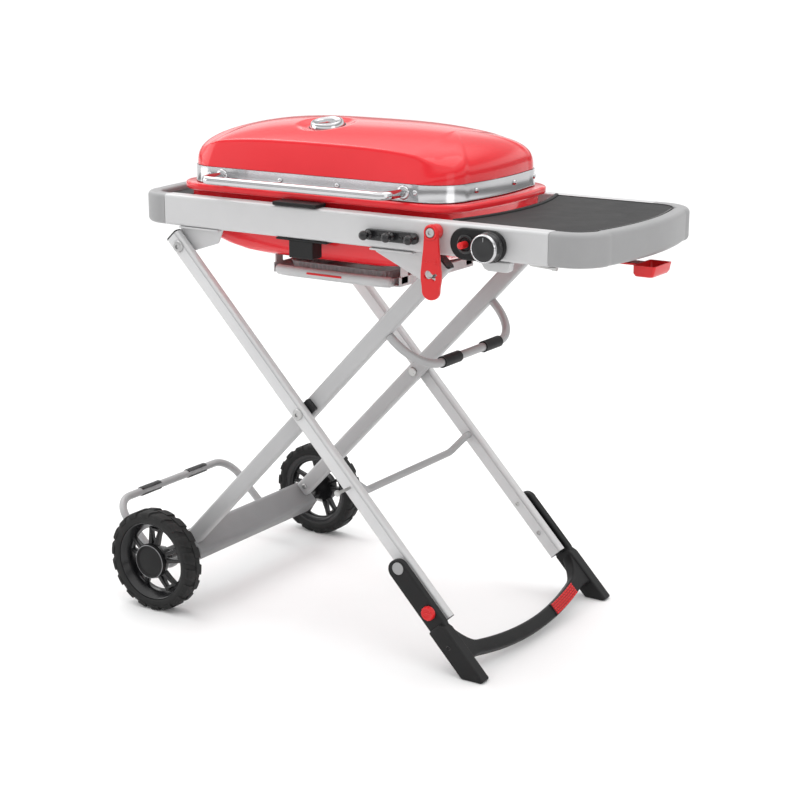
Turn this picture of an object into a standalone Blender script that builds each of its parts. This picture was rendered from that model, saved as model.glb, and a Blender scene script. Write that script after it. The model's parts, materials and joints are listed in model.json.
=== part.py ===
"""Gas grill on a folding cart: a lidded bowl in a framed table with a side shelf, carried by two pairs of
crossed legs with wheels at one end and a foot frame at the other.

Metres, +Z up, -Y is the front. Dimensions along X are given from the scissor pivot, and PIVOT_X then moves
the whole grill so that it stands centred on the origin. Leg parts use leg coordinates: s along the leg from
the pivot (positive downwards on the outer legs, upwards on the inner legs), h across it, y sideways.
"""
import bpy
import bmesh
from math import atan, cos, pi, radians, sin, tan
from mathutils import Matrix, Vector

# ---- overall placement and clearances
PIVOT_X = -0.0570
GAP = 0.0003
BORE_GAP = 0.0003
WELD = 0.00001
SHARP_ANGLE = radians(38)
TUBE_RESOLUTION = 4
SIDES = (("front", -1), ("rear", 1))

# ---- scissor legs
LEG_ANGLE = radians(46.6)
PIVOT_Z = 0.425
LEG_REACH = 0.3953
LEG_WIDTH = 0.032
LEG_WALL = 0.0025
LEG_ROUND = 0.005
OUTER_LEG_Y = (0.2036, 0.2220)
OUTER_LEG_S = (-0.4200, 0.4635)
INNER_LEG_Y = (0.1730, 0.1950)
INNER_LEG_S = (-0.4113, 0.4240)
PIVOT_BOLT_R = 0.006
SPACER_R = 0.014
CATCH_PIN_R = 0.006

# ---- wheels and axle
WHEEL_R = 0.100
WHEEL_X = -0.3074
WHEEL_Y = (0.2541, 0.2967)
TYRE_INNER_R = 0.078
HUB_R = 0.034
HUB_BORE_R = 0.0083
AXLE_R = 0.008
AXLE_HALF = 0.2880
SPOKE_PAIRS = 5
BOX_TOP_S = -0.4116
BOX_BOTTOM_S = -0.4570
BOX_H = (-0.022, 0.038)
BOX_HALF = 0.196

# ---- foot frame
FOOT_Y = (0.2285, 0.2535)
FOOT_H = (-0.0214, 0.0160)
FOOT_START_S, TOE_S = 0.4650, 0.5929
CLAMP_Y = (0.2310, 0.2474)
CLAMP_TOP_S, CLAMP_H, CLAMP_HALF = 0.3410, -0.0024, 0.0190
PACKER_S, PACKER_H = (0.3500, 0.4600), (-0.0120, 0.0060)
FOOT_KNOB_S, FOOT_KNOB_H, FOOT_KNOB_R = 0.4370, 0.0032, 0.0135
FOOT_HOLE_S, FOOT_HOLE_H, FOOT_HOLE_R = 0.5080, -0.0030, 0.0035
BAR_HALF_WIDTH = 0.0133
BAR_HALF_DEPTH = 0.0125
BAR_S_MID, BAR_S_END = 0.5565, 0.5290
BAR_HALF_SPAN = 0.2100
BAR_END_Y, ROOT_START_Y = 0.2300, 0.1850
ROOT_FLARE = (0.0350, 0.0100)
PAD_Y, PAD_HALF_WIDTH, PAD_THICK = (0.0650, 0.1650), 0.0118, 0.0022

# ---- table frame
RAIL_Y = (0.1872, 0.2132)
RAIL_Z = (0.7495, 0.8075)
RAIL_X = (-0.3098, 0.5061)
RAIL_WALL = 0.0026
TABLE_END_X = (-0.3955, 0.6083)
END_BULGE = (0.0225, 0.0322)
END_CORNER_R = (0.0626, 0.0707)
RING_WIDTH = 0.0262
PANEL_TOP_Z = 0.8062
PANEL_THICK = 0.0060
PANEL_HALF = 0.1866
END_FLOOR_Z, END_FLOOR_THICK = 0.7930, 0.0040
TRIM_WIDTH = 0.0080
TRIM_END_X = 0.3400
TRIM_BULGE = 0.0300
TRIM_BULGE_HALF = 0.1750
TRIM_Z = (0.7900, 0.8095)

# ---- bowl and lid
RIM_Z = (0.8150, 0.8285)
RIM_HALF = (0.3250, 0.1840)
RIM_BULGE, RIM_CORNER = 0.0250, 0.0680
MOUTH_HALF, MOUTH_BULGE, MOUTH_CORNER = (0.3085, 0.1675), 0.0240, 0.0430
BOWL_WALL = 0.0030
# the bowl's outside from the rim down to the drain: half length, half width, bulge, corner radius, height
BOWL_LEVELS = (
    (0.3122, 0.1702, 0.0240, 0.0450, 0.8200),
    (0.3115, 0.1696, 0.0240, 0.0450, 0.8050),
    (0.3080, 0.1680, 0.0240, 0.0450, 0.7750),
    (0.2950, 0.1640, 0.0300, 0.0500, 0.7450),
    (0.2500, 0.1560, 0.0300, 0.0550, 0.7180),
    (0.1900, 0.1450, 0.0200, 0.0550, 0.7020),
    (0.0700, 0.0700, 0.0100, 0.0350, 0.6970),
)
LID_HALF = (0.3020, 0.1750)
LID_BULGE, LID_CORNER = 0.0220, 0.0660
BAND_Z = (0.8300, 0.8600)
LID_TOP_Z = 0.9470
LID_WALL = 0.0030
# the dome's section: how far up, and how much of the base outline is left there
LID_PROFILE = (
    (0.000, 1.000), (0.060, 1.000), (0.200, 0.990), (0.400, 0.966), (0.560, 0.932), (0.690, 0.880),
    (0.800, 0.800), (0.885, 0.670), (0.950, 0.480), (0.985, 0.260), (1.000, 0.010),
)
HINGE_Y, HINGE_Z = 0.1960, 0.8330
GAUGE, GAUGE_TILT = Vector((-0.0430, -0.0600, 0.9455)), radians(10)
GAUGE_AXIS = Vector((0, -sin(GAUGE_TILT), cos(GAUGE_TILT)))
GAUGE_R = 0.0330
DIAL_R = 0.0212
HANDLE_TUBE_R = 0.0075
HANDLE_HALF, HANDLE_OUT_Y, HANDLE_Z = 0.2000, 0.2380, 0.8450

# ---- burner and cooking grate
BURNER_R = 0.0110
GRATE_HALF, GRATE_Z = (0.2720, 0.1380), (0.8050, 0.8150)
GRATE_BARS, GRATE_BAR_WIDTH = 18, 0.0050

# ---- controls on the front rail
CONTROL_Z = 0.7750
KNOB_X, IGNITER_X = 0.4030, 0.3545
BEZEL_LEFT_X = 0.3500
IGNITER_R, IGNITER_REACH = 0.0063, 0.0285
BEZEL_R, BEZEL_DEPTH = 0.0275, 0.0090
KNOB_R, KNOB_FRONT_Y = 0.0240, 0.2500
KNOB_TRAVEL = 0.0040
STEM_HOLE_R, IGNITER_HOLE_R = 0.0053, 0.0067
LEVER_X, LEVER_Z = 0.2930, 0.7910
LEVER_Y = (0.2290, 0.2350)
LEVER_TIP = 0.0130
# the lever's edge: distance below its pivot, half width there
LEVER_EDGE = (
    (0.0, 0.0130), (0.030, 0.0150), (0.056, 0.0190), (0.074, 0.0205), (0.092, 0.0175), (0.104, 0.0175),
)
RACK_X = (0.1465, 0.2575)
PEG_INSET, PEG_SPACING = 0.0095, 0.0460

# ---- drip tray
TRAY_X = (-0.1050, 0.1500)
TRAY_Y = (-0.1400, 0.1400)
TRAY_Z = (0.6640, 0.6800)
LIP_R = 0.0085

# ---- tube handles on the inner legs
TUBE_R = 0.0080
LOW_S, LOW_H, LOW_CORNER_R = -0.5306, -0.1754, 0.0460
UP_S, UP_H, UP_CORNER_R = 0.2400, 0.0988, 0.0780
TUBE_HANDLE_Y = 0.1840

# ---- brace between the outer legs
BRACE_R = 0.0070
BRACE_S = 0.1670
BRACE_DROP = 0.0260


# ---- frames, collections and materials
def direction(angle):
    return Vector((cos(angle), 0, sin(angle)))


OUTER_S, OUTER_H = direction(-LEG_ANGLE), direction(pi / 2 - LEG_ANGLE)
INNER_S, INNER_H = direction(LEG_ANGLE), direction(LEG_ANGLE - pi / 2)
PIVOT = Vector((0, 0, PIVOT_Z))
Y = Vector((0, 1, 0))


def outer(s, h, y):
    return PIVOT + s * OUTER_S + h * OUTER_H + y * Y


def inner(s, h, y):
    return PIVOT + s * INNER_S + h * INNER_H + y * Y


TABLE_HINGE = outer(-LEG_REACH, 0, 0)
CATCH = inner(LEG_REACH, 0, 0)


def new_collection(name):
    coll = bpy.data.collections.new(name)
    bpy.context.scene.collection.children.link(coll)
    return coll


def new_material(name, rgb, roughness, metallic=0.0):
    mat = bpy.data.materials.new(name)
    mat.use_nodes = True
    shader = mat.node_tree.nodes["Principled BSDF"]
    shader.inputs["Base Color"].default_value = (*rgb, 1)
    shader.inputs["Roughness"].default_value = roughness
    shader.inputs["Metallic"].default_value = metallic
    return mat


for old in list(bpy.data.objects):
    bpy.data.objects.remove(old, do_unlink=True)

PARTS = new_collection("folding_cart_grill")
CUTTERS = new_collection("cutters")
LOOKS = {
    "silver": ((0.62, 0.62, 0.63), 0.38, 0.7),
    "grey_plastic": ((0.36, 0.36, 0.37), 0.45, 0.0),
    "shelf": ((0.11, 0.11, 0.11), 0.6, 0.0),
    "enamel": ((0.66, 0.02, 0.03), 0.12, 0.0),
    "chrome": ((0.75, 0.75, 0.76), 0.08, 1.0),
    "steel": ((0.5, 0.5, 0.5), 0.3, 1.0),
    "iron": ((0.03, 0.03, 0.03), 0.5, 0.2),
    "brass": ((0.6, 0.42, 0.14), 0.3, 1.0),
    "black": ((0.025, 0.025, 0.026), 0.45, 0.0),
    "tyre": ((0.035, 0.035, 0.036), 0.8, 0.0),
    "red_plastic": ((0.75, 0.015, 0.02), 0.3, 0.0),
    "foil": ((0.7, 0.7, 0.7), 0.25, 1.0),
}
MATERIALS = {}
for look, values in LOOKS.items():
    MATERIALS[look] = new_material(look, *values)


def place_object(name, data, look, pivot):
    """Make an object whose origin is pivot; without a look it is a hidden cutter."""
    obj = bpy.data.objects.new(name, data)
    obj.location = Vector(pivot) + Vector((PIVOT_X, 0, 0))
    if look is None:
        CUTTERS.objects.link(obj)
        obj.hide_render = True
        obj.display_type = "WIRE"
    else:
        PARTS.objects.link(obj)
        data.materials.append(MATERIALS[look])
    return obj


def finish(name, bm, look=None, pivot=(0, 0, 0)):
    """Turn a bmesh into a named object; edges flatter than the sharp angle are shaded smooth."""
    bmesh.ops.recalc_face_normals(bm, faces=bm.faces)
    bmesh.ops.translate(bm, verts=bm.verts, vec=-Vector(pivot))
    mesh = bpy.data.meshes.new(name)
    bm.to_mesh(mesh)
    bm.free()
    mesh.shade_smooth()
    mesh.set_sharp_from_angle(angle=SHARP_ANGLE)
    return place_object(name, mesh, look, pivot)


def boolean(obj, operation, tool):
    mod = obj.modifiers.new(operation.lower(), "BOOLEAN")
    mod.operation = operation
    mod.solver = "EXACT"
    mod.object = tool


def soften(obj, width, segments=1, angle=40):
    mod = obj.modifiers.new("soften", "BEVEL")
    mod.width = width
    mod.segments = segments
    mod.limit_method = "ANGLE"
    mod.angle_limit = radians(angle)


# ---- solids
def box(bm, low, high):
    low, high = Vector(low), Vector(high)
    size = Matrix.Diagonal((*(high - low), 1))
    bmesh.ops.create_cube(bm, size=1, matrix=Matrix.Translation((low + high) / 2) @ size)


def pin(bm, centre, axis, radius, low, high, segments=20):
    """A cylinder about an axis, between two distances along it."""
    axis = Vector(axis).normalized()
    middle = Vector(centre) + axis * (low + high) / 2
    turn = Vector((0, 0, 1)).rotation_difference(axis).to_matrix().to_4x4()
    bmesh.ops.create_cone(bm, cap_ends=True, segments=segments, radius1=radius, radius2=radius,
                          depth=high - low, matrix=Matrix.Translation(middle) @ turn)


def lathe(bm, profile, centre, axis, segments):
    """Spin (radius, distance) points about an axis; radius 0 closes an end, else the profile is a ring."""
    axis = Vector(axis).normalized()
    side = axis.orthogonal().normalized()
    centre = Vector(centre)
    points = [bm.verts.new(centre + axis * along + side * radius) for radius, along in profile]
    edges = [bm.edges.new(pair) for pair in zip(points, points[1:])]
    if profile[0][0] != 0:
        edges.append(bm.edges.new((points[-1], points[0])))
    bmesh.ops.spin(bm, geom=points + edges, cent=centre, axis=axis, angle=2 * pi, steps=segments)
    bmesh.ops.remove_doubles(bm, verts=bm.verts, dist=WELD)


def extrude(bm, loops, position, depth):
    """Extrude a flat outline by depth: loops of (u, v), the later ones holes, placed by position(u, v)."""
    thickness = depth.length
    curve = bpy.data.curves.new("outline", "CURVE")
    curve.dimensions = "2D"
    curve.fill_mode = "BOTH"
    curve.extrude = thickness / 2
    for loop in loops:
        spline = curve.splines.new("POLY")
        spline.points.add(len(loop) - 1)
        spline.use_cyclic_u = True
        for point, (u, v) in zip(spline.points, loop):
            point.co = (u, v, 0, 1)
    outline = bpy.data.objects.new("outline", curve)
    mesh = bpy.data.meshes.new_from_object(outline)
    flat = bmesh.new()
    flat.from_mesh(mesh)
    bmesh.ops.remove_doubles(flat, verts=flat.verts, dist=WELD)
    for vert in flat.verts:
        vert.co = position(vert.co.x, vert.co.y) + depth * (vert.co.z / thickness + 0.5)
    flat.to_mesh(mesh)
    flat.free()
    bm.from_mesh(mesh)
    bpy.data.meshes.remove(mesh)
    bpy.data.objects.remove(outline)
    bpy.data.curves.remove(curve)


def tube(name, path, radius, look, pivot=(0, 0, 0)):
    """A bent round bar: a curve with a round bevel and filled ends."""
    curve = bpy.data.curves.new(name, "CURVE")
    curve.dimensions = "3D"
    curve.bevel_depth = radius
    curve.bevel_resolution = TUBE_RESOLUTION
    curve.use_fill_caps = True
    spline = curve.splines.new("POLY")
    spline.points.add(len(path) - 1)
    spline.use_smooth = True
    for point, spot in zip(spline.points, path):
        point.co = (*(spot - Vector(pivot)), 1)
    return place_object(name, curve, look, pivot)


def loft(bm, rows):
    """Skin a stack of plan outlines that differ in shape, and leave both ends open."""
    rings = [[bm.verts.new(point) for point in row] for row in rows]
    for a, b in zip(rings, rings[1:]):
        for i in range(len(a)):
            bm.faces.new((a[i - 1], a[i], b[i], b[i - 1]))
    return rings


def thicken(obj, wall):
    """Give an open surface its wall, inwards."""
    mod = obj.modifiers.new("wall", "SOLIDIFY")
    mod.thickness = wall
    mod.offset = -1
    mod.use_even_offset = True


def fillet_path(points, radii, steps=6):
    """Round the inner corners of a polyline with arcs of the given radii."""
    path = [Vector(points[0])]
    for before, corner, after, radius in zip(points, points[1:], points[2:], radii):
        corner = Vector(corner)
        a = (Vector(before) - corner).normalized()
        b = (Vector(after) - corner).normalized()
        half = a.angle(b) / 2
        setback = radius / tan(half)
        centre = corner + (a + b).normalized() * (radius / sin(half))
        first, last = corner + a * setback - centre, corner + b * setback - centre
        sweep = first.angle(last)
        for k in range(steps + 1):
            t = k / steps
            arm = first * (sin((1 - t) * sweep) / sin(sweep)) + last * (sin(t * sweep) / sin(sweep))
            path.append(centre + arm)
    path.append(Vector(points[-1]))
    return path


def rounded_rect(low, high, radius, steps=3):
    """A rectangle from low to high with rounded corners, as a loop of (u, v)."""
    centres = (
        (high[0] - radius, high[1] - radius, 0),
        (low[0] + radius, high[1] - radius, 1),
        (low[0] + radius, low[1] + radius, 2),
        (high[0] - radius, low[1] + radius, 3),
    )
    loop = []
    for u, v, quarter in centres:
        for k in range(steps + 1):
            turn = pi / 2 * (quarter + k / steps)
            loop.append((u + radius * cos(turn), v + radius * sin(turn)))
    return loop


def end_curve(end_x, side_y, bulge, corner, sign, steps=5):
    """The outline of one rounded, bulging end, from its corner at -side_y round to its corner at +side_y."""
    inner_y = side_y - corner
    slope = 2 * bulge * inner_y / side_y**2
    tilt = atan(slope)
    points = []
    arc_x = end_x - bulge * (inner_y / side_y) ** 2 - corner * cos(tilt)
    arc_y = -side_y + corner
    for k in range(steps + 1):
        turn = -pi / 2 + (pi / 2 - tilt) * k / steps
        points.append((arc_x + corner * cos(turn), arc_y + corner * sin(turn)))
    straight = points[-1][1]
    for k in range(1, 2 * steps):
        y = straight * (1 - k / steps)
        points.append((end_x - bulge * (y / side_y) ** 2, y))
    mirrored = [(x, -y) for x, y in reversed(points[: steps + 1])]
    points += mirrored
    return [(sign * x, y) for x, y in points]


def plan_loop(half, bulge, corner, steps=6):
    """A plan outline with straight sides and two bulging ends, anticlockwise seen from above."""
    right = end_curve(half[0], half[1], bulge, corner, 1, steps)
    left = [(-x, -y) for x, y in right]
    return right + left


# ---- table frame
def rail(name, side):
    """A C-section rail, open towards the middle of the table."""
    deep, face = RAIL_Y
    low, high = RAIL_Z
    w = RAIL_WALL
    r = 0.005
    loop = [(deep, low), (face - r, low)]
    loop += [(face - r * (1 - sin(t)), low + r * (1 - cos(t))) for t in (pi / 6, pi / 3)]
    loop += [(face, low + r), (face, high - r)]
    loop += [(face - r * (1 - cos(t)), high - r * (1 - sin(t))) for t in (pi / 6, pi / 3)]
    loop += [(face - r, high), (deep, high), (deep, high - w), (face - r, high - w)]
    loop += [(face - w, high - r), (face - w, low + r), (face - r, low + w), (deep, low + w)]
    bm = bmesh.new()
    extrude(bm, [loop], lambda u, v: Vector((RAIL_X[0], side * u, v)), Vector((RAIL_X[1] - RAIL_X[0], 0, 0)))
    return finish(name, bm, "silver")


def end_cap(name, sign, floor):
    """A plastic moulding that closes one end of the frame, with a floor plate where floor is True."""
    index = 0 if sign < 0 else 1
    end = abs(TABLE_END_X[index])
    seam = abs(RAIL_X[index]) + GAP
    side = RAIL_Y[1]
    out = end_curve(end, side, END_BULGE[index], END_CORNER_R[index], sign)
    corner = END_CORNER_R[index] - RING_WIDTH
    inn = end_curve(end - RING_WIDTH, side - RING_WIDTH, END_BULGE[index], corner, sign)
    seam_out = [(sign * seam, -side)]
    seam_in = [(sign * seam, -side + RING_WIDTH)]
    loop = seam_out + out + [(sign * seam, side), (sign * seam, side - RING_WIDTH)] + inn[::-1] + seam_in
    bm = bmesh.new()
    extrude(bm, [loop], lambda u, v: Vector((u, v, RAIL_Z[0])), Vector((0, 0, RAIL_Z[1] - RAIL_Z[0])))
    cap = finish(name, bm, "grey_plastic")
    soften(cap, 0.0045, 2, 50)
    if floor:
        grown = [(x * 1.01, y * 1.01) for x, y in inn]
        inset = RING_WIDTH / 2
        edge = sign * (seam + 0.002)
        bottom = [(edge, inset - side)] + grown + [(edge, side - inset)]
        bm = bmesh.new()
        extrude(bm, [bottom], lambda u, v: Vector((u, v, END_FLOOR_Z)), Vector((0, 0, END_FLOOR_THICK)))
        boolean(cap, "UNION", finish(name + "_floor", bm))
    return cap


def trim_x(y, offset=0.0):
    """The side shelf's hollowed edge follows the end of the bowl's rim."""
    return TRIM_END_X + offset - TRIM_BULGE * (y / TRIM_BULGE_HALF) ** 2


def side_shelf():
    """The shelf panel, with a rim turned down all round its underside."""
    half = PANEL_HALF
    inn = end_curve(TABLE_END_X[1] - RING_WIDTH - 0.0006, half, END_BULGE[1], END_CORNER_R[1] - RING_WIDTH, 1)
    ys = [half * (1 - k / 8) for k in range(17)]
    edge = [(trim_x(y, TRIM_WIDTH + GAP), y) for y in ys]
    loop = inn + edge
    bm = bmesh.new()
    extrude(bm, [loop], lambda u, v: Vector((u, v, PANEL_TOP_Z - PANEL_THICK)), Vector((0, 0, PANEL_THICK)))
    panel = finish("side_shelf", bm, "shelf")
    soften(panel, 0.0012, 1, 50)
    return panel


def shelf_trim():
    half = PANEL_HALF
    ys = [-half + 2 * half * k / 16 for k in range(17)]
    loop = [(trim_x(y), y) for y in ys] + [(trim_x(y, TRIM_WIDTH), y) for y in reversed(ys)]
    bm = bmesh.new()
    extrude(bm, [loop], lambda u, v: Vector((u, v, TRIM_Z[0])), Vector((0, 0, TRIM_Z[1] - TRIM_Z[0])))
    trim = finish("shelf_trim", bm, "black")
    soften(trim, 0.0020, 2, 60)
    return trim


# ---- bowl, grate, burner
def plan_rows(levels, steps=5):
    """Plan outlines at their heights, from levels given as (half_x, half_y, bulge, corner, z)."""
    rows = []
    for half_x, half_y, bulge, corner, z in levels:
        rows.append([(x, y, z) for x, y in plan_loop((half_x, half_y), bulge, corner, steps)])
    return rows


def bowl():
    """The cooking tub: a thick rim over thin walls that slope in to the drain above the drip tray."""
    outline = plan_loop(RIM_HALF, RIM_BULGE, RIM_CORNER, 5)
    mouth = plan_loop(MOUTH_HALF, MOUTH_BULGE, MOUTH_CORNER, 5)
    bm = bmesh.new()
    extrude(bm, [outline, mouth], lambda u, v: Vector((u, v, RIM_Z[0])), Vector((0, 0, RIM_Z[1] - RIM_Z[0])))
    rim = finish("bowl", bm, "enamel")
    bm = bmesh.new()
    loft(bm, plan_rows(BOWL_LEVELS))
    wall = finish("bowl_wall", bm)
    thicken(wall, BOWL_WALL)
    boolean(rim, "UNION", wall)
    return rim


def cooking_grate():
    """Two end bars and a row of cross bars, one casting, resting on the bowl's ledge."""
    half_x, half_y = GRATE_HALF
    low, high = GRATE_Z
    frame = 0.010
    loop = rounded_rect((-half_x, -half_y), (half_x, half_y), 0.030, 3)
    hole = rounded_rect((-half_x + frame, -half_y + frame), (half_x - frame, half_y - frame), 0.020, 3)
    bm = bmesh.new()
    extrude(bm, [loop, hole], lambda u, v: Vector((u, v, low)), Vector((0, 0, high - low)))
    grate = finish("cooking_grate", bm, "iron")
    bm = bmesh.new()
    first = 2 * frame - half_x
    spacing = -2 * first / (GRATE_BARS - 1)
    for k in range(GRATE_BARS):
        x = first + spacing * k
        box(bm, (x - GRATE_BAR_WIDTH / 2, frame / 2 - half_y, low + 0.001),
            (x + GRATE_BAR_WIDTH / 2, half_y - frame / 2, high - 0.001))
    boolean(grate, "UNION", finish("grate_bars", bm))
    return grate


def burner_tube():
    """A U-shaped burner lying in the bowl."""
    z = 0.7560
    points = [(0.2300, -0.0850, z), (-0.2150, -0.0850, z), (-0.2150, 0.0850, z), (0.2300, 0.0850, z)]
    return tube("burner_tube", fillet_path(points, (0.050, 0.050), 5), BURNER_R, "steel")


# ---- lid
def lid():
    """The lid: nearly upright sides that turn over a shoulder into a gently domed top, open below."""
    base = plan_loop(LID_HALF, LID_BULGE, LID_CORNER, 5)
    bottom = BAND_Z[1] + GAP
    height = LID_TOP_Z - bottom
    rows = []
    for rise, spread in LID_PROFILE:
        rows.append([(x * spread, y * spread, bottom + height * rise) for x, y in base])
    bm = bmesh.new()
    rings = loft(bm, rows)
    bmesh.ops.pointmerge(bm, verts=rings[-1], merge_co=(0, 0, LID_TOP_Z))
    shell = finish("lid", bm, "enamel", (0, HINGE_Y, HINGE_Z))
    thicken(shell, LID_WALL)
    bm = bmesh.new()
    pin(bm, GAUGE, GAUGE_AXIS, GAUGE_R + 0.0006, -0.03, 0.05, 32)
    boolean(shell, "DIFFERENCE", finish("gauge_hole", bm))
    return shell


def lid_band():
    """The bright band round the lid's lower edge."""
    bm = bmesh.new()
    out = plan_loop((LID_HALF[0] + 0.0004, LID_HALF[1] + 0.0004), LID_BULGE, LID_CORNER, 6)
    inn = plan_loop((LID_HALF[0] - 0.0030, LID_HALF[1] - 0.0030), LID_BULGE, LID_CORNER - 0.003, 6)
    height = Vector((0, 0, BAND_Z[1] - BAND_Z[0]))
    extrude(bm, [out, inn], lambda u, v: Vector((u, v, BAND_Z[0])), height)
    return finish("lid_band", bm, "chrome", (0, HINGE_Y, HINGE_Z))


def lid_handle():
    wall_y = LID_HALF[1] + 0.0004 + GAP
    points = [
        (-HANDLE_HALF, -wall_y, HANDLE_Z),
        (-HANDLE_HALF, -HANDLE_OUT_Y, HANDLE_Z),
        (HANDLE_HALF, -HANDLE_OUT_Y, HANDLE_Z),
        (HANDLE_HALF, -wall_y, HANDLE_Z),
    ]
    path = fillet_path(points, (0.020, 0.020), 5)
    return tube("lid_handle", path, HANDLE_TUBE_R, "chrome", (0, HINGE_Y, HINGE_Z))


def gauge_housing():
    """The thermometer's bezel, cup and stem, as one turned piece with a recess for the needle."""
    profile = (
        (0, -0.0300), (0.0040, -0.0300), (0.0040, -0.0130), (0.0240, -0.0125), (GAUGE_R, -0.0100),
        (GAUGE_R, -0.0070), (0.0300, -0.0030), (DIAL_R + 0.0025, 0.0000), (DIAL_R, 0.0000), (DIAL_R, -0.0032),
        (0, -0.0032),
    )
    bm = bmesh.new()
    lathe(bm, profile, GAUGE, GAUGE_AXIS, 32)
    return finish("gauge_housing", bm, "chrome", (0, HINGE_Y, HINGE_Z))


def gauge_needle():
    """A flat pointer lying just over the dial."""
    axis = GAUGE_AXIS
    centre = GAUGE - axis * 0.0027
    across = Vector((1, 0, 0))
    along = axis.cross(across)
    point = (across * -0.80 + along * -0.60).normalized()
    side = axis.cross(point)
    below = ((-0.0050, -0.0012), (0.0040, -0.0016), (0.0150, -0.0003))
    loop = below + tuple((u, -v) for u, v in reversed(below))
    bm = bmesh.new()
    extrude(bm, [loop], lambda u, v: centre + u * point + v * side, axis * 0.0010)
    return finish("gauge_needle", bm, "red_plastic", centre)


def lid_hinge_block():
    """A pair of ears behind the rim, joined by a bar, that carry the lid's hinge line."""
    bm = bmesh.new()
    box(bm, (-0.1500, RIM_HALF[1] + 0.0003, 0.8160), (0.1500, RIM_HALF[1] + 0.0040, 0.8270))
    block = finish("lid_hinge", bm, "steel")
    bm = bmesh.new()
    r = 0.0055
    loop = [(RIM_HALF[1] + 0.0010, 0.8180), (HINGE_Y + r, 0.8180)]
    loop += [(HINGE_Y + r * cos(t), HINGE_Z + r * sin(t)) for t in (0, pi / 4, pi / 2, 3 * pi / 4, pi)]
    for x in (-0.1490, 0.1310):
        extrude(bm, [loop], lambda u, v: Vector((x, u, v)), Vector((0.0180, 0, 0)))
    boolean(block, "UNION", finish("lid_hinge_ears", bm))
    return block


# ---- things fixed to the rails
def saddle_clamp(name, side):
    """A clamp that hooks over a rail under the bowl's rim and ends in a block below."""
    inner_y, outer_y = RAIL_Y[0] - 0.0040, RAIL_Y[1] + 0.0025
    bm = bmesh.new()
    box(bm, (-0.0560, min(side * inner_y, side * outer_y), RAIL_Z[1] + GAP),
        (0.0400, max(side * inner_y, side * outer_y), RIM_Z[0] - GAP))
    clamp = finish(name, bm, "black")
    bm = bmesh.new()
    wall = (side * (inner_y - 0.0005), side * (RAIL_Y[0] - 0.0006))
    box(bm, (-0.0300, min(wall), 0.7420), (0.0300, max(wall), 0.8130))
    boolean(clamp, "UNION", finish(name + "_wall", bm))
    bm = bmesh.new()
    block = (side * (inner_y - 0.0010), side * 0.2120)
    box(bm, (-0.0220, min(block), 0.7150), (0.0300, max(block), RAIL_Z[0] - GAP))
    boolean(clamp, "UNION", finish(name + "_block", bm))
    bm = bmesh.new()
    box(bm, (-0.0510, min(block), 0.7455), (0.0610, max(block), RAIL_Z[0] - GAP))
    boolean(clamp, "UNION", finish(name + "_flange", bm))
    return clamp


def hook_rack():
    """A bar with three ball-ended pegs for hanging tools."""
    face = -(RAIL_Y[1] + GAP)
    z = 0.7740
    bm = bmesh.new()
    loop = rounded_rect((RACK_X[0], z - 0.0100), (RACK_X[1], z + 0.0100), 0.0095, 4)
    extrude(bm, [loop], lambda u, v: Vector((u, face, v)), Vector((0, -0.0080, 0)))
    rack = finish("hook_rack", bm, "black")
    soften(rack, 0.0015, 1, 50)
    ball = 0.0085
    profile = [(0, 0.0)] + [(0.0048, 0.0), (0.0048, 0.0160)]
    for k in range(1, 6):
        turn = pi * k / 6
        profile.append((ball * sin(turn), 0.0220 - ball * cos(turn)))
    profile.append((0, 0.0220 + ball))
    for n in range(3):
        bm = bmesh.new()
        x = RACK_X[0] + PEG_INSET + PEG_SPACING * n
        lathe(bm, profile, (x, face - 0.002, z), (0, -1, 0), 12)
        boolean(rack, "UNION", finish("peg_%d" % n, bm))
    return rack


def control_bezel():
    """A capsule-shaped plate with a raised boss round the igniter and a hole for the knob's stem."""
    face = -(RAIL_Y[1] + GAP)
    loop = []
    for x, start in ((KNOB_X, -pi / 2), (BEZEL_LEFT_X, pi / 2)):
        for k in range(9):
            turn = start + pi * k / 8
            loop.append((x + BEZEL_R * cos(turn), CONTROL_Z + BEZEL_R * sin(turn)))
    bm = bmesh.new()
    extrude(bm, [loop], lambda u, v: Vector((u, face, v)), Vector((0, -BEZEL_DEPTH, 0)))
    bezel = finish("control_bezel", bm, "black")
    soften(bezel, 0.0025, 2, 50)
    bm = bmesh.new()
    boss = (
        (0.0075, 0.0040), (0.0150, 0.0040), (0.0150, 0.0105), (0.0135, 0.0120), (0.0095, 0.0120),
        (0.0075, 0.0070),
    )
    lathe(bm, boss, (IGNITER_X, face, CONTROL_Z), (0, -1, 0), 24)
    boolean(bezel, "UNION", finish("igniter_boss", bm))
    bm = bmesh.new()
    pin(bm, (IGNITER_X, face, CONTROL_Z), (0, -1, 0), IGNITER_HOLE_R, -0.001, 0.030, 20)
    pin(bm, (KNOB_X, face, CONTROL_Z), (0, -1, 0), STEM_HOLE_R, -0.001, 0.030, 20)
    boolean(bezel, "DIFFERENCE", finish("bezel_holes", bm))
    return bezel


def rail_holes(front):
    """Openings in the front rail for the igniter's and the knob's stems."""
    bm = bmesh.new()
    for x, r in ((IGNITER_X, IGNITER_HOLE_R), (KNOB_X, STEM_HOLE_R)):
        pin(bm, (x, -0.2000, CONTROL_Z), (0, -1, 0), r, 0, 0.030, 20)
    boolean(front, "DIFFERENCE", finish("stem_holes", bm))


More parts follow.
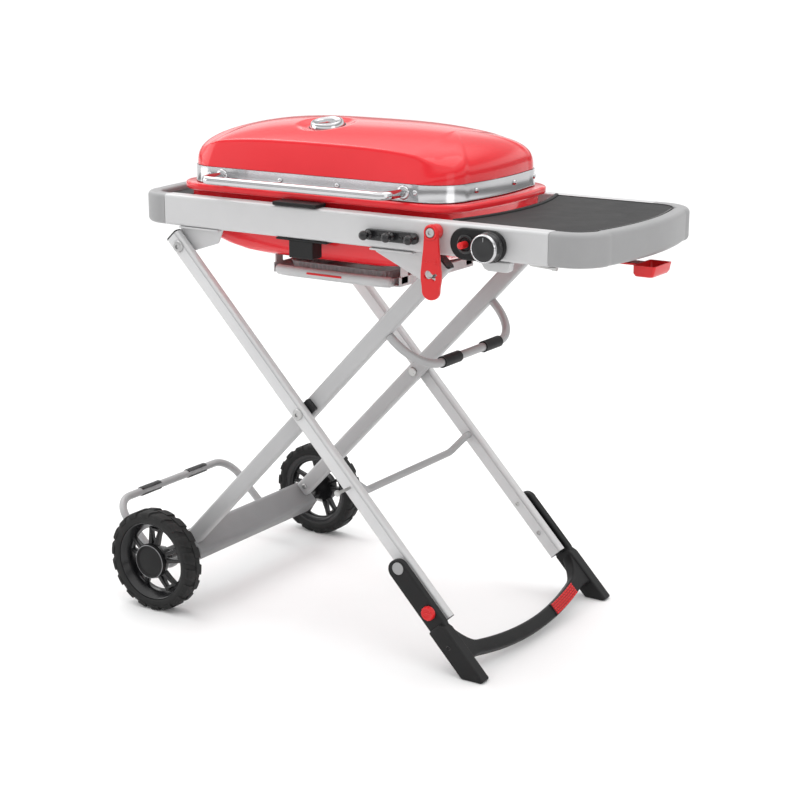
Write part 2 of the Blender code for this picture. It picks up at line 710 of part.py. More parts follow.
def gas_valve():
    """The valve body behind the rail, which the knob's stem enters."""
    bm = bmesh.new()
    lathe(bm, ((0.0053, 0.0), (0.0110, 0.0), (0.0110, 0.0160), (0.0053, 0.0160)),
          (KNOB_X, -0.1860, CONTROL_Z), (0, 1, 0), 24)
    valve = finish("gas_valve", bm, "brass")
    bm = bmesh.new()
    box(bm, (KNOB_X - 0.0125, -0.1705, CONTROL_Z - 0.0110), (KNOB_X + 0.0125, -0.1500, CONTROL_Z + 0.0110))
    pin(bm, (KNOB_X, -0.1600, CONTROL_Z), (-1, 0, 0), 0.0050, 0.005, 0.0450, 14)
    boolean(valve, "UNION", finish("valve_block", bm))
    return valve


def knob_stem():
    """The stem: it slides into the valve when the knob is pushed."""
    bm = bmesh.new()
    pin(bm, (KNOB_X, 0, CONTROL_Z), (0, -1, 0), 0.0050, 0.1780, 0.2330, 20)
    return finish("knob_stem", bm, "steel", (KNOB_X, -0.2330, CONTROL_Z))


def control_knob():
    """The knob: a wide skirt, a bright-edged grip and a blind bore for the stem."""
    start = RAIL_Y[1] + GAP + BEZEL_DEPTH + KNOB_TRAVEL + 0.0008
    front = KNOB_FRONT_Y
    profile = (
        (0, 0.2333), (0.0052, 0.2333), (0.0052, start), (0.0265, start), (0.0265, start + 0.0040),
        (KNOB_R, start + 0.0065), (KNOB_R, front - 0.0020), (KNOB_R - 0.0020, front),
        (KNOB_R - 0.0045, front - 0.0008), (0, front - 0.0008),
    )
    bm = bmesh.new()
    lathe(bm, profile, (KNOB_X, 0, CONTROL_Z), (0, -1, 0), 36)
    return finish("control_knob", bm, "black", (KNOB_X, -front, CONTROL_Z))


def igniter_button():
    face = RAIL_Y[1] + GAP
    bm = bmesh.new()
    front = face + IGNITER_REACH
    edge = 0.0010
    r = IGNITER_R
    profile = ((0, 0.2040), (r, 0.2040), (r, front - edge), (r - edge, front), (0, front))
    lathe(bm, profile, (IGNITER_X, 0, CONTROL_Z), (0, -1, 0), 20)
    return finish("igniter_button", bm, "red_plastic", (IGNITER_X, -face, CONTROL_Z))


def release_lever():
    """A hanging flat lever with a grip hole and a boss that stands it off the rail."""
    y = -LEVER_Y[0]
    z = LEVER_Z
    right = [(half_width, -drop) for drop, half_width in LEVER_EDGE]
    left = [(-u, v) for u, v in reversed(right)]
    turns = [pi * k / 6 for k in range(1, 6)]
    head_r, (tip_drop, tip_r) = LEVER_EDGE[0][1], LEVER_EDGE[-1]
    tip = [(tip_r * cos(t), -tip_drop - LEVER_TIP * sin(t)) for t in turns]
    head = [(-head_r * cos(t), head_r * sin(t)) for t in turns]
    loop = right + tip + left + head
    bm = bmesh.new()
    extrude(bm, [loop], lambda u, v: Vector((LEVER_X + u, y, z + v)), Vector((0, LEVER_Y[0] - LEVER_Y[1], 0)))
    lever = finish("release_lever", bm, "red_plastic", (LEVER_X, y, z))
    soften(lever, 0.0012, 1, 50)
    bm = bmesh.new()
    lathe(bm, ((0.0050, 0.0), (0.0125, 0.0), (0.0125, 0.0170), (0.0050, 0.0170)),
          (LEVER_X, -(RAIL_Y[1] + 0.0006), z), (0, -1, 0), 24)
    boolean(lever, "UNION", finish("lever_boss", bm))
    bm = bmesh.new()
    pin(bm, (LEVER_X, -0.2, z), (0, -1, 0), 0.0048, 0, 0.05, 24)
    grip = rounded_rect((LEVER_X - 0.0115, z - 0.0830), (LEVER_X + 0.0115, z - 0.0680), 0.0070, 3)
    extrude(bm, [grip], lambda u, v: Vector((u, -0.2200, v)), Vector((0, -0.0250, 0)))
    boolean(lever, "DIFFERENCE", finish("lever_holes", bm))
    return lever


def lever_bolt():
    bm = bmesh.new()
    lathe(bm, ((0, -0.2136), (0.0045, -0.2136), (0.0045, -0.2354), (0.0080, -0.2354), (0.0080, -0.2375),
               (0.0060, -0.2385), (0, -0.2385)), (LEVER_X, 0, LEVER_Z), (0, 1, 0), 20)
    return finish("lever_bolt", bm, "steel")


def rail_bracket():
    """A short stop bracket under the front rail, over the path of the inner leg."""
    loop = ((0.3740, RAIL_Z[0] - GAP), (0.4360, RAIL_Z[0] - GAP), (0.4330, 0.7315), (0.3880, 0.7315))
    bm = bmesh.new()
    extrude(bm, [loop], lambda u, v: Vector((u, -0.2120, v)), Vector((0, 0.0155, 0)))
    bracket = finish("rail_bracket", bm, "silver")
    soften(bracket, 0.0015, 1, 50)
    return bracket


def hinge_plate(name, side):
    """A gusset under the rail with the stud that the outer leg turns on."""
    x, z = TABLE_HINGE.x, TABLE_HINGE.z
    top = RAIL_Z[0] - GAP
    loop = ((x - 0.0100, top), (x + 0.0900, top), (x + 0.0780, z + 0.0100), (x + 0.0100, z - 0.0130),
            (x - 0.0060, z - 0.0130), (x - 0.0150, z - 0.0050), (x - 0.0150, z + 0.0150))
    bm = bmesh.new()
    extrude(bm, [loop], lambda u, v: Vector((u, side * 0.1970, v)), Vector((0, side * 0.0040, 0)))
    plate = finish(name, bm, "silver")
    bm = bmesh.new()
    box(bm, (x - 0.0060, min(side * 0.1975, side * 0.2120), top - 0.0040),
        (x + 0.0860, max(side * 0.1975, side * 0.2120), top))
    boolean(plate, "UNION", finish(name + "_flange", bm))
    bm = bmesh.new()
    low, high = OUTER_LEG_Y
    lathe(bm, ((0, 0.1980), (0.0050, 0.1980), (0.0050, high + 0.0005), (0.0100, high + 0.0005),
               (0.0100, high + 0.0025), (0.0080, high + 0.0040), (0, high + 0.0040)),
          (x, 0, z), (0, side, 0), 20)
    boolean(plate, "UNION", finish(name + "_stud", bm))
    return plate


def catch_plate(name, side):
    """A gusset with an open notch that the inner leg's pin rests in while the cart stands."""
    x, z = CATCH.x, CATCH.z
    top = RAIL_Z[0] - GAP
    r = CATCH_PIN_R + 0.0006
    loop = [(x - 0.1220, top), (x + 0.0120, top), (x + 0.0120, z + r)]
    loop += [(x + r * cos(t), z + r * sin(t)) for t in (pi / 2, 3 * pi / 4, pi, 5 * pi / 4, 3 * pi / 2)]
    loop += [(x + 0.0120, z - r), (x + 0.0120, z - 0.0140), (x - 0.0140, z - 0.0140)]
    loop.append((x - 0.1120, top - 0.0100))
    bm = bmesh.new()
    extrude(bm, [loop], lambda u, v: Vector((u, side * 0.1965, v)), Vector((0, side * 0.0035, 0)))
    plate = finish(name, bm, "silver")
    bm = bmesh.new()
    box(bm, (x - 0.1150, min(side * 0.1970, side * 0.2120), top - 0.0035),
        (x - 0.0300, max(side * 0.1970, side * 0.2120), top))
    boolean(plate, "UNION", finish(name + "_flange", bm))
    return plate


def tray_hanger(name, x, sign):
    """A hanger under the bowl with a ledge that one side of the drip tray slides on."""
    half, floor, ledge = 0.1300, 0.6655, 0.6685
    wall = sorted((x + sign * 0.0110, x + sign * 0.0140))
    bm = bmesh.new()
    box(bm, (min(x, wall[0]), -half, floor), (max(x, wall[1]), half, ledge))
    hanger = finish(name, bm, "silver")
    bm = bmesh.new()
    box(bm, (wall[0], -half, floor), (wall[1], half, 0.6830))
    boolean(hanger, "UNION", finish(name + "_side", bm))
    bm = bmesh.new()
    for y in (-0.1250, 0.1030):
        box(bm, (wall[0], y, 0.6700), (wall[1], y + 0.0220, 0.6955))
    boolean(hanger, "UNION", finish(name + "_posts", bm))
    return hanger


def drip_tray():
    """A shallow tray whose rolled front edge is its grip."""
    (x0, x1), (y0, y1), (z0, z1) = TRAY_X, TRAY_Y, TRAY_Z
    loop = rounded_rect((x0, y0), (x1, y1), 0.014, 3)
    hole = rounded_rect((x0 + 0.002, y0 + 0.002), (x1 - 0.002, y1 - 0.002), 0.012, 3)
    bm = bmesh.new()
    extrude(bm, [loop], lambda u, v: Vector((u, v, z0)), Vector((0, 0, z1 - z0)))
    tray = finish("drip_tray", bm, "chrome", (0, y0, z0))
    bm = bmesh.new()
    extrude(bm, [hole], lambda u, v: Vector((u, v, z0 + 0.002)), Vector((0, 0, 0.030)))
    boolean(tray, "DIFFERENCE", finish("tray_hollow", bm))
    bm = bmesh.new()
    pin(bm, (0, y0 - 0.002, z1 - 0.006), (1, 0, 0), LIP_R, x0 + 0.012, x1 - 0.012, 12)
    boolean(tray, "UNION", finish("tray_lip", bm))
    return tray


def foil_pan():
    """A disposable liner standing in the drip tray."""
    x0, x1 = TRAY_X[0] + 0.014, TRAY_X[1] - 0.014
    y0, y1 = TRAY_Y[0] + 0.016, TRAY_Y[1] - 0.014
    z0 = TRAY_Z[0] + 0.0023
    bm = bmesh.new()
    outline = rounded_rect((x0, y0), (x1, y1), 0.020, 4)
    extrude(bm, [outline], lambda u, v: Vector((u, v, z0)), Vector((0, 0, 0.024)))
    pan = finish("foil_pan", bm, "foil", (0, y0, z0))
    bm = bmesh.new()
    hole = rounded_rect((x0 + 0.0015, y0 + 0.0015), (x1 - 0.0015, y1 - 0.0015), 0.0185, 4)
    extrude(bm, [hole], lambda u, v: Vector((u, v, z0 + 0.0015)), Vector((0, 0, 0.030)))
    boolean(pan, "DIFFERENCE", finish("pan_hollow", bm))
    return pan


def fold_grip():
    """An open scoop under the shelf's end, pulled to free the cart for folding."""
    x0, x1, half, z0, z1 = 0.5720, 0.6140, 0.0330, 0.7130, 0.7330
    bm = bmesh.new()
    loop = ((x0, z1), (x0, z0), (x1 - 0.012, z0), (x1, z0 + 0.011), (x1, z1))
    extrude(bm, [loop], lambda u, v: Vector((u, -half, v)), Vector((0, 2 * half, 0)))
    grip = finish("fold_grip", bm, "red_plastic", (x0, 0, z1))
    bm = bmesh.new()
    w, above = 0.0025, 0.01
    loop = ((x0 + w, z1 + above), (x0 + w, z0 + w), (x1 - 0.013, z0 + w), (x1 - w, z0 + 0.012),
            (x1 - w, z1 + above))
    extrude(bm, [loop], lambda u, v: Vector((u, -half + w, v)), Vector((0, 2 * half - 2 * w, 0)))
    boolean(grip, "DIFFERENCE", finish("grip_hollow", bm))
    bm = bmesh.new()
    loop = ((x0 - 0.0700, z1 - 0.0040), (x0 + 0.0015, z1 - 0.0040), (x0 + 0.0015, z1), (x0 - 0.0620, z1),
            (x0 - 0.0620, z1 + 0.0400), (x0 - 0.0700, z1 + 0.0400))
    extrude(bm, [loop], lambda u, v: Vector((u, -0.0150, v)), Vector((0, 0.0300, 0)))
    boolean(grip, "UNION", finish("grip_strap", bm))
    return grip


# ---- legs
def leg(side, frame, span, y_span):
    """A rectangular tube with rounded edges, open at both ends."""
    low, high = y_span
    mid = side * (low + high) / 2
    half = (LEG_WIDTH / 2, (high - low) / 2)
    wall = LEG_WALL
    skin = rounded_rect((-half[0], -half[1]), half, LEG_ROUND, 2)
    bore = (half[0] - wall, half[1] - wall)
    hollow = rounded_rect((-bore[0], -bore[1]), bore, LEG_ROUND - wall, 2)
    bm = bmesh.new()
    along = frame(span[1], 0, 0) - frame(span[0], 0, 0)
    extrude(bm, [skin, hollow], lambda u, v: frame(span[0], u, mid + v), along)
    return bm


def outer_leg(name, side):
    bm = leg(side, outer, OUTER_LEG_S, OUTER_LEG_Y)
    tube = finish(name, bm, "silver", TABLE_HINGE)
    bm = bmesh.new()
    for s, r in ((0, PIVOT_BOLT_R), (-LEG_REACH, 0.0050)):
        pin(bm, outer(s, 0, 0), (0, side, 0), r + BORE_GAP, 0.1960, 0.2300, 20)
    boolean(tube, "DIFFERENCE", finish(name + "_bores", bm))
    return tube


def inner_leg(name, side):
    """An inner leg with the stub pin that drops into the catch plate."""
    bm = leg(side, inner, INNER_LEG_S, INNER_LEG_Y)
    tube = finish(name, bm, "silver", PIVOT)
    bm = bmesh.new()
    pin(bm, inner(0, 0, 0), (0, side, 0), PIVOT_BOLT_R + BORE_GAP, 0.1650, 0.2000, 20)
    boolean(tube, "DIFFERENCE", finish(name + "_bore", bm))
    bm = bmesh.new()
    pin(bm, CATCH, (0, side, 0), CATCH_PIN_R, 0.1740, 0.2020, 20)
    boolean(tube, "UNION", finish(name + "_pin", bm))
    return tube


def pivot_bolt(name, side):
    """The bolt at the scissor's middle, with the collar that keeps the legs apart."""
    inner_low, inner_high = INNER_LEG_Y
    outer_low, outer_high = OUTER_LEG_Y
    g = GAP
    profile = (
        (0, inner_low - 0.0035), (0.0080, inner_low - 0.0035), (0.0095, inner_low - 0.0020),
        (0.0095, inner_low - g), (PIVOT_BOLT_R, inner_low - g), (PIVOT_BOLT_R, inner_high + g),
        (SPACER_R, inner_high + g), (SPACER_R, outer_low - g), (PIVOT_BOLT_R, outer_low - g),
        (PIVOT_BOLT_R, outer_high + g), (0.0100, outer_high + g), (0.0100, outer_high + 0.0020),
        (0.0080, outer_high + 0.0040), (0, outer_high + 0.0040),
    )
    bm = bmesh.new()
    lathe(bm, profile, PIVOT, (0, side, 0), 16)
    return finish(name, bm, "steel", PIVOT)


def cross_tube():
    """A brace between the outer legs, stepped down clear of the drip tray when folded."""
    y0 = OUTER_LEG_Y[0] - GAP
    bend, low = 0.1950, BRACE_S + 0.0106
    points = [outer(BRACE_S, 0, -y0), outer(BRACE_S, 0, -bend), outer(low, -BRACE_DROP, -0.1500),
              outer(low, -BRACE_DROP, 0.1500), outer(BRACE_S, 0, bend), outer(BRACE_S, 0, y0)]
    path = fillet_path(points, (0.010, 0.030, 0.030, 0.010), 4)
    return tube("cross_tube", path, BRACE_R, "silver", TABLE_HINGE)


def cross_tube_screw():
    """The brace's long screw, standing out of the front leg."""
    y = OUTER_LEG_Y[1] + GAP
    bm = bmesh.new()
    lathe(bm, ((0, y), (0.0028, y), (0.0028, 0.2585), (0.0060, 0.2600), (0.0060, 0.2630), (0, 0.2635)),
          outer(BRACE_S, 0, 0), (0, -1, 0), 14)
    return finish("cross_tube_screw", bm, "steel", TABLE_HINGE)


def floor_s(h):
    """Where a line along the leg at this h meets the floor."""
    return (PIVOT_Z + h * cos(LEG_ANGLE)) / sin(LEG_ANGLE)


def foot_outline():
    """The foot itself from the side: its sole is level with the floor and its toe is cut square."""
    low, high = FOOT_H
    toe_h = (TOE_S * sin(LEG_ANGLE) - PIVOT_Z) / cos(LEG_ANGLE)
    return [(FOOT_START_S, low), (floor_s(low), low), (TOE_S, toe_h), (TOE_S, high),
            (FOOT_START_S + 0.0150, high), (FOOT_START_S, high - 0.0060)]


def clamp_outline():
    """The round-ended plate that bolts the foot to the leg's outer face."""
    turns = [pi / 2 + pi * k / 8 for k in range(9)]
    end = [(CLAMP_TOP_S + CLAMP_HALF * cos(t), CLAMP_H + CLAMP_HALF * sin(t)) for t in turns]
    return end + [(FOOT_START_S + 0.0100, CLAMP_H - CLAMP_HALF), (FOOT_START_S + 0.0100, FOOT_H[1] - 0.0030)]


def foot(side):
    """Clamp plate, the packing piece between it and the leg, and the foot, as layers across y."""
    packer = [(PACKER_S[0], PACKER_H[0]), (PACKER_S[1], PACKER_H[0]), (PACKER_S[1], PACKER_H[1]),
              (PACKER_S[0], PACKER_H[1])]
    leg_face = OUTER_LEG_Y[1] + GAP
    layers = ((foot_outline(), FOOT_Y), (clamp_outline(), CLAMP_Y), (packer, (leg_face, CLAMP_Y[0] + 0.0010)))
    for outline, (low, high) in layers:
        bm = bmesh.new()
        extrude(bm, [outline], lambda u, v: outer(u, v, side * low), Y * side * (high - low))
        yield finish("foot_layer", bm)


def foot_frame():
    """Both feet and the bowed bar between them, one moulding."""
    strip = bowed_strip(BAR_HALF_WIDTH, -BAR_END_Y, BAR_END_Y, 24, ROOT_FLARE)
    bm = bmesh.new()
    extrude(bm, [strip], lambda u, v: outer(u, -BAR_HALF_DEPTH, v), OUTER_H * (2 * BAR_HALF_DEPTH))
    frame = finish("foot_frame", bm, "black", TABLE_HINGE)
    soften(frame, 0.0040, 2, 50)
    for label, side in SIDES:
        for layer in foot(side):
            boolean(frame, "UNION", layer)
    bm = bmesh.new()
    for label, side in SIDES:
        hole = outer(FOOT_HOLE_S, FOOT_HOLE_H, 0)
        pin(bm, hole, (0, side, 0), FOOT_HOLE_R, FOOT_Y[1] - 0.0060, FOOT_Y[1] + 0.0030, 14)
    boolean(frame, "DIFFERENCE", finish("foot_holes", bm))
    return frame


def bowed_strip(half_width, start, stop, steps, flare=(0.0, 0.0)):
    """The plan of a strip along the foot bar's bow; flare widens its upper and lower edges at the feet."""
    ys = [start + (stop - start) * k / steps for k in range(steps + 1)]
    upper, lower = [], []
    for y in ys:
        middle = BAR_S_MID + (BAR_S_END - BAR_S_MID) * (y / BAR_HALF_SPAN) ** 2
        root = max(0.0, (abs(y) - ROOT_START_Y) / (BAR_END_Y - ROOT_START_Y)) ** 2
        upper.append((middle - half_width - flare[0] * root, y))
        lower.append((middle + half_width + flare[1] * root, y))
    return upper + lower[::-1]


def foot_grip_pad():
    """The tread pad that a shoe presses while the cart is opened."""
    strip = bowed_strip(PAD_HALF_WIDTH, PAD_Y[0], PAD_Y[1], 6)
    bm = bmesh.new()
    extrude(bm, [strip], lambda u, v: outer(u, BAR_HALF_DEPTH + GAP, v), OUTER_H * PAD_THICK)
    return finish("foot_grip_pad", bm, "red_plastic", TABLE_HINGE)


def foot_latch_knob():
    """A turning lock knob on the front foot."""
    y = CLAMP_Y[1] + GAP
    r = FOOT_KNOB_R
    bm = bmesh.new()
    profile = (
        (0, y), (r - 0.002, y), (r, y + 0.0015), (r, y + 0.0060), (r - 0.002, y + 0.0080), (0, y + 0.0080),
    )
    lathe(bm, profile, outer(FOOT_KNOB_S, FOOT_KNOB_H, 0), (0, -1, 0), 24)
    return finish("foot_latch_knob", bm, "red_plastic", outer(FOOT_KNOB_S, FOOT_KNOB_H, -y))


# ---- axle, wheels and tube handles on the inner legs
def axle_box():
    """The wide hollow beam across the lower ends of the inner legs, closed round the axle at both ends."""
    loop = rounded_rect((BOX_BOTTOM_S, BOX_H[0]), (BOX_TOP_S, BOX_H[1]), 0.0100, 4)
    bm = bmesh.new()
    extrude(bm, [loop], lambda u, v: inner(u, v, -BOX_HALF), Y * (2 * BOX_HALF))
    beam = finish("axle_box", bm, "silver", PIVOT)
    w = 0.0025
    hollow = rounded_rect((BOX_BOTTOM_S + w, BOX_H[0] + w), (BOX_TOP_S - w, BOX_H[1] - w), 0.0075, 4)
    bm = bmesh.new()
    extrude(bm, [hollow], lambda u, v: inner(u, v, -BOX_HALF + 0.008), Y * (2 * BOX_HALF - 0.016))
    boolean(beam, "DIFFERENCE", finish("axle_box_hollow", bm))
    bm = bmesh.new()
    pin(bm, wheel_centre(), (0, 1, 0), AXLE_R + BORE_GAP, -0.21, 0.21, 20)
    boolean(beam, "DIFFERENCE", finish("axle_box_bore", bm))
    return beam


def wheel_centre():
    return Vector((WHEEL_X, 0, WHEEL_R))


def axle():
    """The axle rod, with a shoulder on each side of the wheels."""
    profile = (
        (0, -AXLE_HALF), (AXLE_R, -AXLE_HALF), (AXLE_R, -0.2500), (0.0130, -0.2500), (0.0130, -0.1963),
        (AXLE_R, -0.1963), (AXLE_R, 0.1963), (0.0130, 0.1963), (0.0130, 0.2500), (AXLE_R, 0.2500),
        (AXLE_R, AXLE_HALF), (0, AXLE_HALF),
    )
    bm = bmesh.new()
    lathe(bm, profile, wheel_centre(), (0, 1, 0), 20)
    return finish("axle", bm, "steel", PIVOT)


def wheel_rim(name, side):
    """Rim, web and hub, with paired spokes left between cut-outs."""
    low, high = WHEEL_Y
    r = TYRE_INNER_R - GAP
    profile = (
        (HUB_BORE_R, low - 0.0030), (0.0200, low - 0.0030), (0.0240, low + 0.0080), (0.0300, low + 0.0160),
        (0.0630, low + 0.0160), (0.0700, low + 0.0030), (r, low + 0.0030), (r, high - 0.0050),
        (0.0710, high - 0.0050), (0.0640, high - 0.0140), (0.0340, high - 0.0100), (0.0340, high - 0.0083),
        (HUB_BORE_R, high - 0.0083),
    )
    centre = wheel_centre()
    pivot = centre + Vector((0, side * (low + high) / 2, 0))
    bm = bmesh.new()
    lathe(bm, profile, centre, (0, side, 0), 30)
    rim = finish(name, bm, "black", pivot)
    bm = bmesh.new()
    for k in range(SPOKE_PAIRS):
        turn = 2 * pi * k / SPOKE_PAIRS + 0.30
        for half_low, half_high in ((0.23, 2 * pi / SPOKE_PAIRS - 0.23), (-0.075, 0.075)):
            window(bm, centre, side, turn, half_low, half_high, low, high)
    boolean(rim, "DIFFERENCE", finish(name + "_windows", bm))
    return rim


def window(bm, centre, side, turn, start, stop, low, high):
    """One cut-out through the wheel's web, between two radii and two angles."""
    steps = 3
    ring = []
    for radius, order in ((0.0390, range(steps + 1)), (0.0600, range(steps, -1, -1))):
        for k in order:
            angle = turn + start + (stop - start) * k / steps
            ring.append((radius * cos(angle), radius * sin(angle)))
    base = centre + Vector((0, side * (low - 0.01), 0))
    extrude(bm, [ring], lambda u, v: base + Vector((u, 0, v)), Vector((0, side * (high - low + 0.02), 0)))


def tyre(name, side):
    """A solid tyre with shouldered tread."""
    low, high = WHEEL_Y
    r = WHEEL_R
    profile = (
        (TYRE_INNER_R, low + 0.0030), (0.0860, low), (0.0950, low + 0.0010), (r, low + 0.0070),
        (r, high - 0.0070), (0.0950, high - 0.0010), (0.0860, high), (TYRE_INNER_R, high - 0.0030),
    )
    centre = wheel_centre()
    bm = bmesh.new()
    lathe(bm, profile, centre, (0, side, 0), 40)
    return finish(name, bm, "tyre", centre + Vector((0, side * (low + high) / 2, 0)))


def hub_cap(name, side):
    low, high = WHEEL_Y
    start = high - 0.0083 + GAP
    centre = wheel_centre()
    bm = bmesh.new()
    lathe(bm, ((0, start), (HUB_R, start), (HUB_R, start + 0.0060), (HUB_R - 0.0025, start + 0.0080),
               (HUB_R - 0.0060, start + 0.0070), (0, start + 0.0080)), centre, (0, side, 0), 32)
    return finish(name, bm, "black", centre + Vector((0, side * (low + high) / 2, 0)))


def lower_handle():
    """The tube hoop beyond the wheels, square to the inner legs."""
    y = TUBE_HANDLE_Y
    start = BOX_BOTTOM_S - GAP
    points = [inner(start, 0.004, -y), inner(LOW_S, 0.004, -y), inner(LOW_S, LOW_H, -y),
              inner(LOW_S, LOW_H, y), inner(LOW_S, 0.004, y), inner(start, 0.004, y)]
    radii = (0.035, LOW_CORNER_R, LOW_CORNER_R, 0.035)
    return tube("lower_handle", fillet_path(points, radii, 6), TUBE_R, "silver", PIVOT)


def upper_handle():
    """The tube hoop on the right of the inner legs."""
    y = TUBE_HANDLE_Y
    start = LEG_WIDTH / 2 + GAP
    points = [inner(UP_S, start, -y), inner(UP_S, UP_H, -y), inner(UP_S, UP_H, y), inner(UP_S, start, y)]
    return tube("upper_handle", fillet_path(points, (UP_CORNER_R, UP_CORNER_R), 8), TUBE_R, "silver", PIVOT)


def handle_sleeve(name, side):
    bm = bmesh.new()
    lathe(bm, ((TUBE_R + GAP, 0.0440), (0.0105, 0.0440), (0.0105, 0.1030), (TUBE_R + GAP, 0.1030)),
          inner(UP_S, UP_H, 0), (0, side, 0), 16)
    return finish(name, bm, "black", PIVOT)


# ---- assembly
def build():
    front = rail("front_rail", -1)
    rail_holes(front)
    rail("rear_rail", 1)
    end_cap("left_end_cap", -1, True)
    end_cap("right_end_cap", 1, False)
    side_shelf()
    shelf_trim()
    bowl()
    cooking_grate()
    burner_tube()
    lid_hinge_block()
    lid()
    lid_band()
    lid_handle()
    gauge_housing()
    gauge_needle()
    hook_rack()
    control_bezel()
    gas_valve()
    knob_stem()
    control_knob()
    igniter_button()
    release_lever()
    lever_bolt()
    rail_bracket()
    tray_hanger("tray_hanger_left", TRAY_X[0], -1)
    tray_hanger("tray_hanger_right", TRAY_X[1], 1)
    drip_tray()
    foil_pan()
    fold_grip()
    cross_tube()
    cross_tube_screw()
    foot_frame()
    foot_grip_pad()
    foot_latch_knob()
    axle_box()
    axle()
    lower_handle()
    upper_handle()
    for label, side in SIDES:
        saddle_clamp("saddle_clamp_" + label, side)
        hinge_plate("hinge_plate_" + label, side)
        catch_plate("catch_plate_" + label, side)
        outer_leg("outer_leg_" + label, side)
        inner_leg("inner_leg_" + label, side)
        pivot_bolt("pivot_bolt_" + label, side)
        handle_sleeve("handle_sleeve_" + label, side)
        wheel_rim("wheel_rim_" + label, side)
        tyre("tyre_" + label, side)
        hub_cap("hub_cap_" + label, side)


build()
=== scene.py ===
"""Looks for the folding-cart gas grill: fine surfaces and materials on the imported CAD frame.

Metres, +Z up, -Y is the front. X is mostly given from the scissor pivot: at(x, y, z) turns it into the row frame.
Leg parts use leg coordinates: s along the leg from the pivot, h across it, y sideways.
"""
import json
from math import atan, cos, exp, hypot, log, pi, radians, sin, tan

import bmesh
import bpy
from mathutils import Matrix, Vector


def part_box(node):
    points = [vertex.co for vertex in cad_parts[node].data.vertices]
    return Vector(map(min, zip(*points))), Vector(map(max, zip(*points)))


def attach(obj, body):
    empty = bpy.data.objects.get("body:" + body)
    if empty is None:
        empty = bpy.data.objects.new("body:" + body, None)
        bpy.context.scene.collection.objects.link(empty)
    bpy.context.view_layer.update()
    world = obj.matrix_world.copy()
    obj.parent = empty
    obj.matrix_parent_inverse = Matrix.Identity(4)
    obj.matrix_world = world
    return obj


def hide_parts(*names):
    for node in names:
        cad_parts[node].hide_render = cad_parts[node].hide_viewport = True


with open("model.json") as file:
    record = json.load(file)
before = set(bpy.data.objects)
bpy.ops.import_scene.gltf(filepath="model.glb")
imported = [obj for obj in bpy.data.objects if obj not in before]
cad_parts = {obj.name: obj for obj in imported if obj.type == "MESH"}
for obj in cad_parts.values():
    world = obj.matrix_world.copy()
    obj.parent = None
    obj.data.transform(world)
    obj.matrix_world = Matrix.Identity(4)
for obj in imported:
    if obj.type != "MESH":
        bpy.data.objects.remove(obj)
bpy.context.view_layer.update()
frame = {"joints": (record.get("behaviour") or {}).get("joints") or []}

JOINTS = {j["name"]: j for j in frame["joints"]}
PIVOT = Vector(JOINTS["inner_legs_fold"]["pos_m"])
TABLE_HINGE = Vector(JOINTS["outer_legs_fold"]["pos_m"])
LID_HINGE = Vector(JOINTS["lid_hinge"]["pos_m"])
OUTER_S = (PIVOT - TABLE_HINGE).normalized()
OUTER_H = Vector((-OUTER_S.z, 0, OUTER_S.x))
INNER_S = Vector((OUTER_S.x, 0, -OUTER_S.z))
INNER_H = Vector((INNER_S.z, 0, -INNER_S.x))
X, Y, Z = Vector((1, 0, 0)), Vector((0, 1, 0)), Vector((0, 0, 1))
REACH = (PIVOT - TABLE_HINGE).length
SIDES = (("front", -1), ("rear", 1))


def at(x, y, z):
    return Vector((x + PIVOT.x, y, z))


def outer(s, h, y):
    return PIVOT + s * OUTER_S + h * OUTER_H + y * Y


def inner(s, h, y):
    return PIVOT + s * INNER_S + h * INNER_H + y * Y


def span_x(name):
    """Where a CAD node starts and ends in x, from the pivot."""
    low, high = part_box(name)
    return low.x - PIVOT.x, high.x - PIVOT.x


def span_out(name, side):
    """Where a CAD node on one side starts and ends, as distances from the middle plane."""
    low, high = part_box(name)
    return (-high.y, -low.y) if side < 0 else (low.y, high.y)


# ---- materials
def node(tree, kind, **values):
    made = tree.nodes.new(kind)
    for key, value in values.items():
        if hasattr(made, key):
            setattr(made, key, value)
        else:
            made.inputs[key.replace("_", " ")].default_value = value
    return made


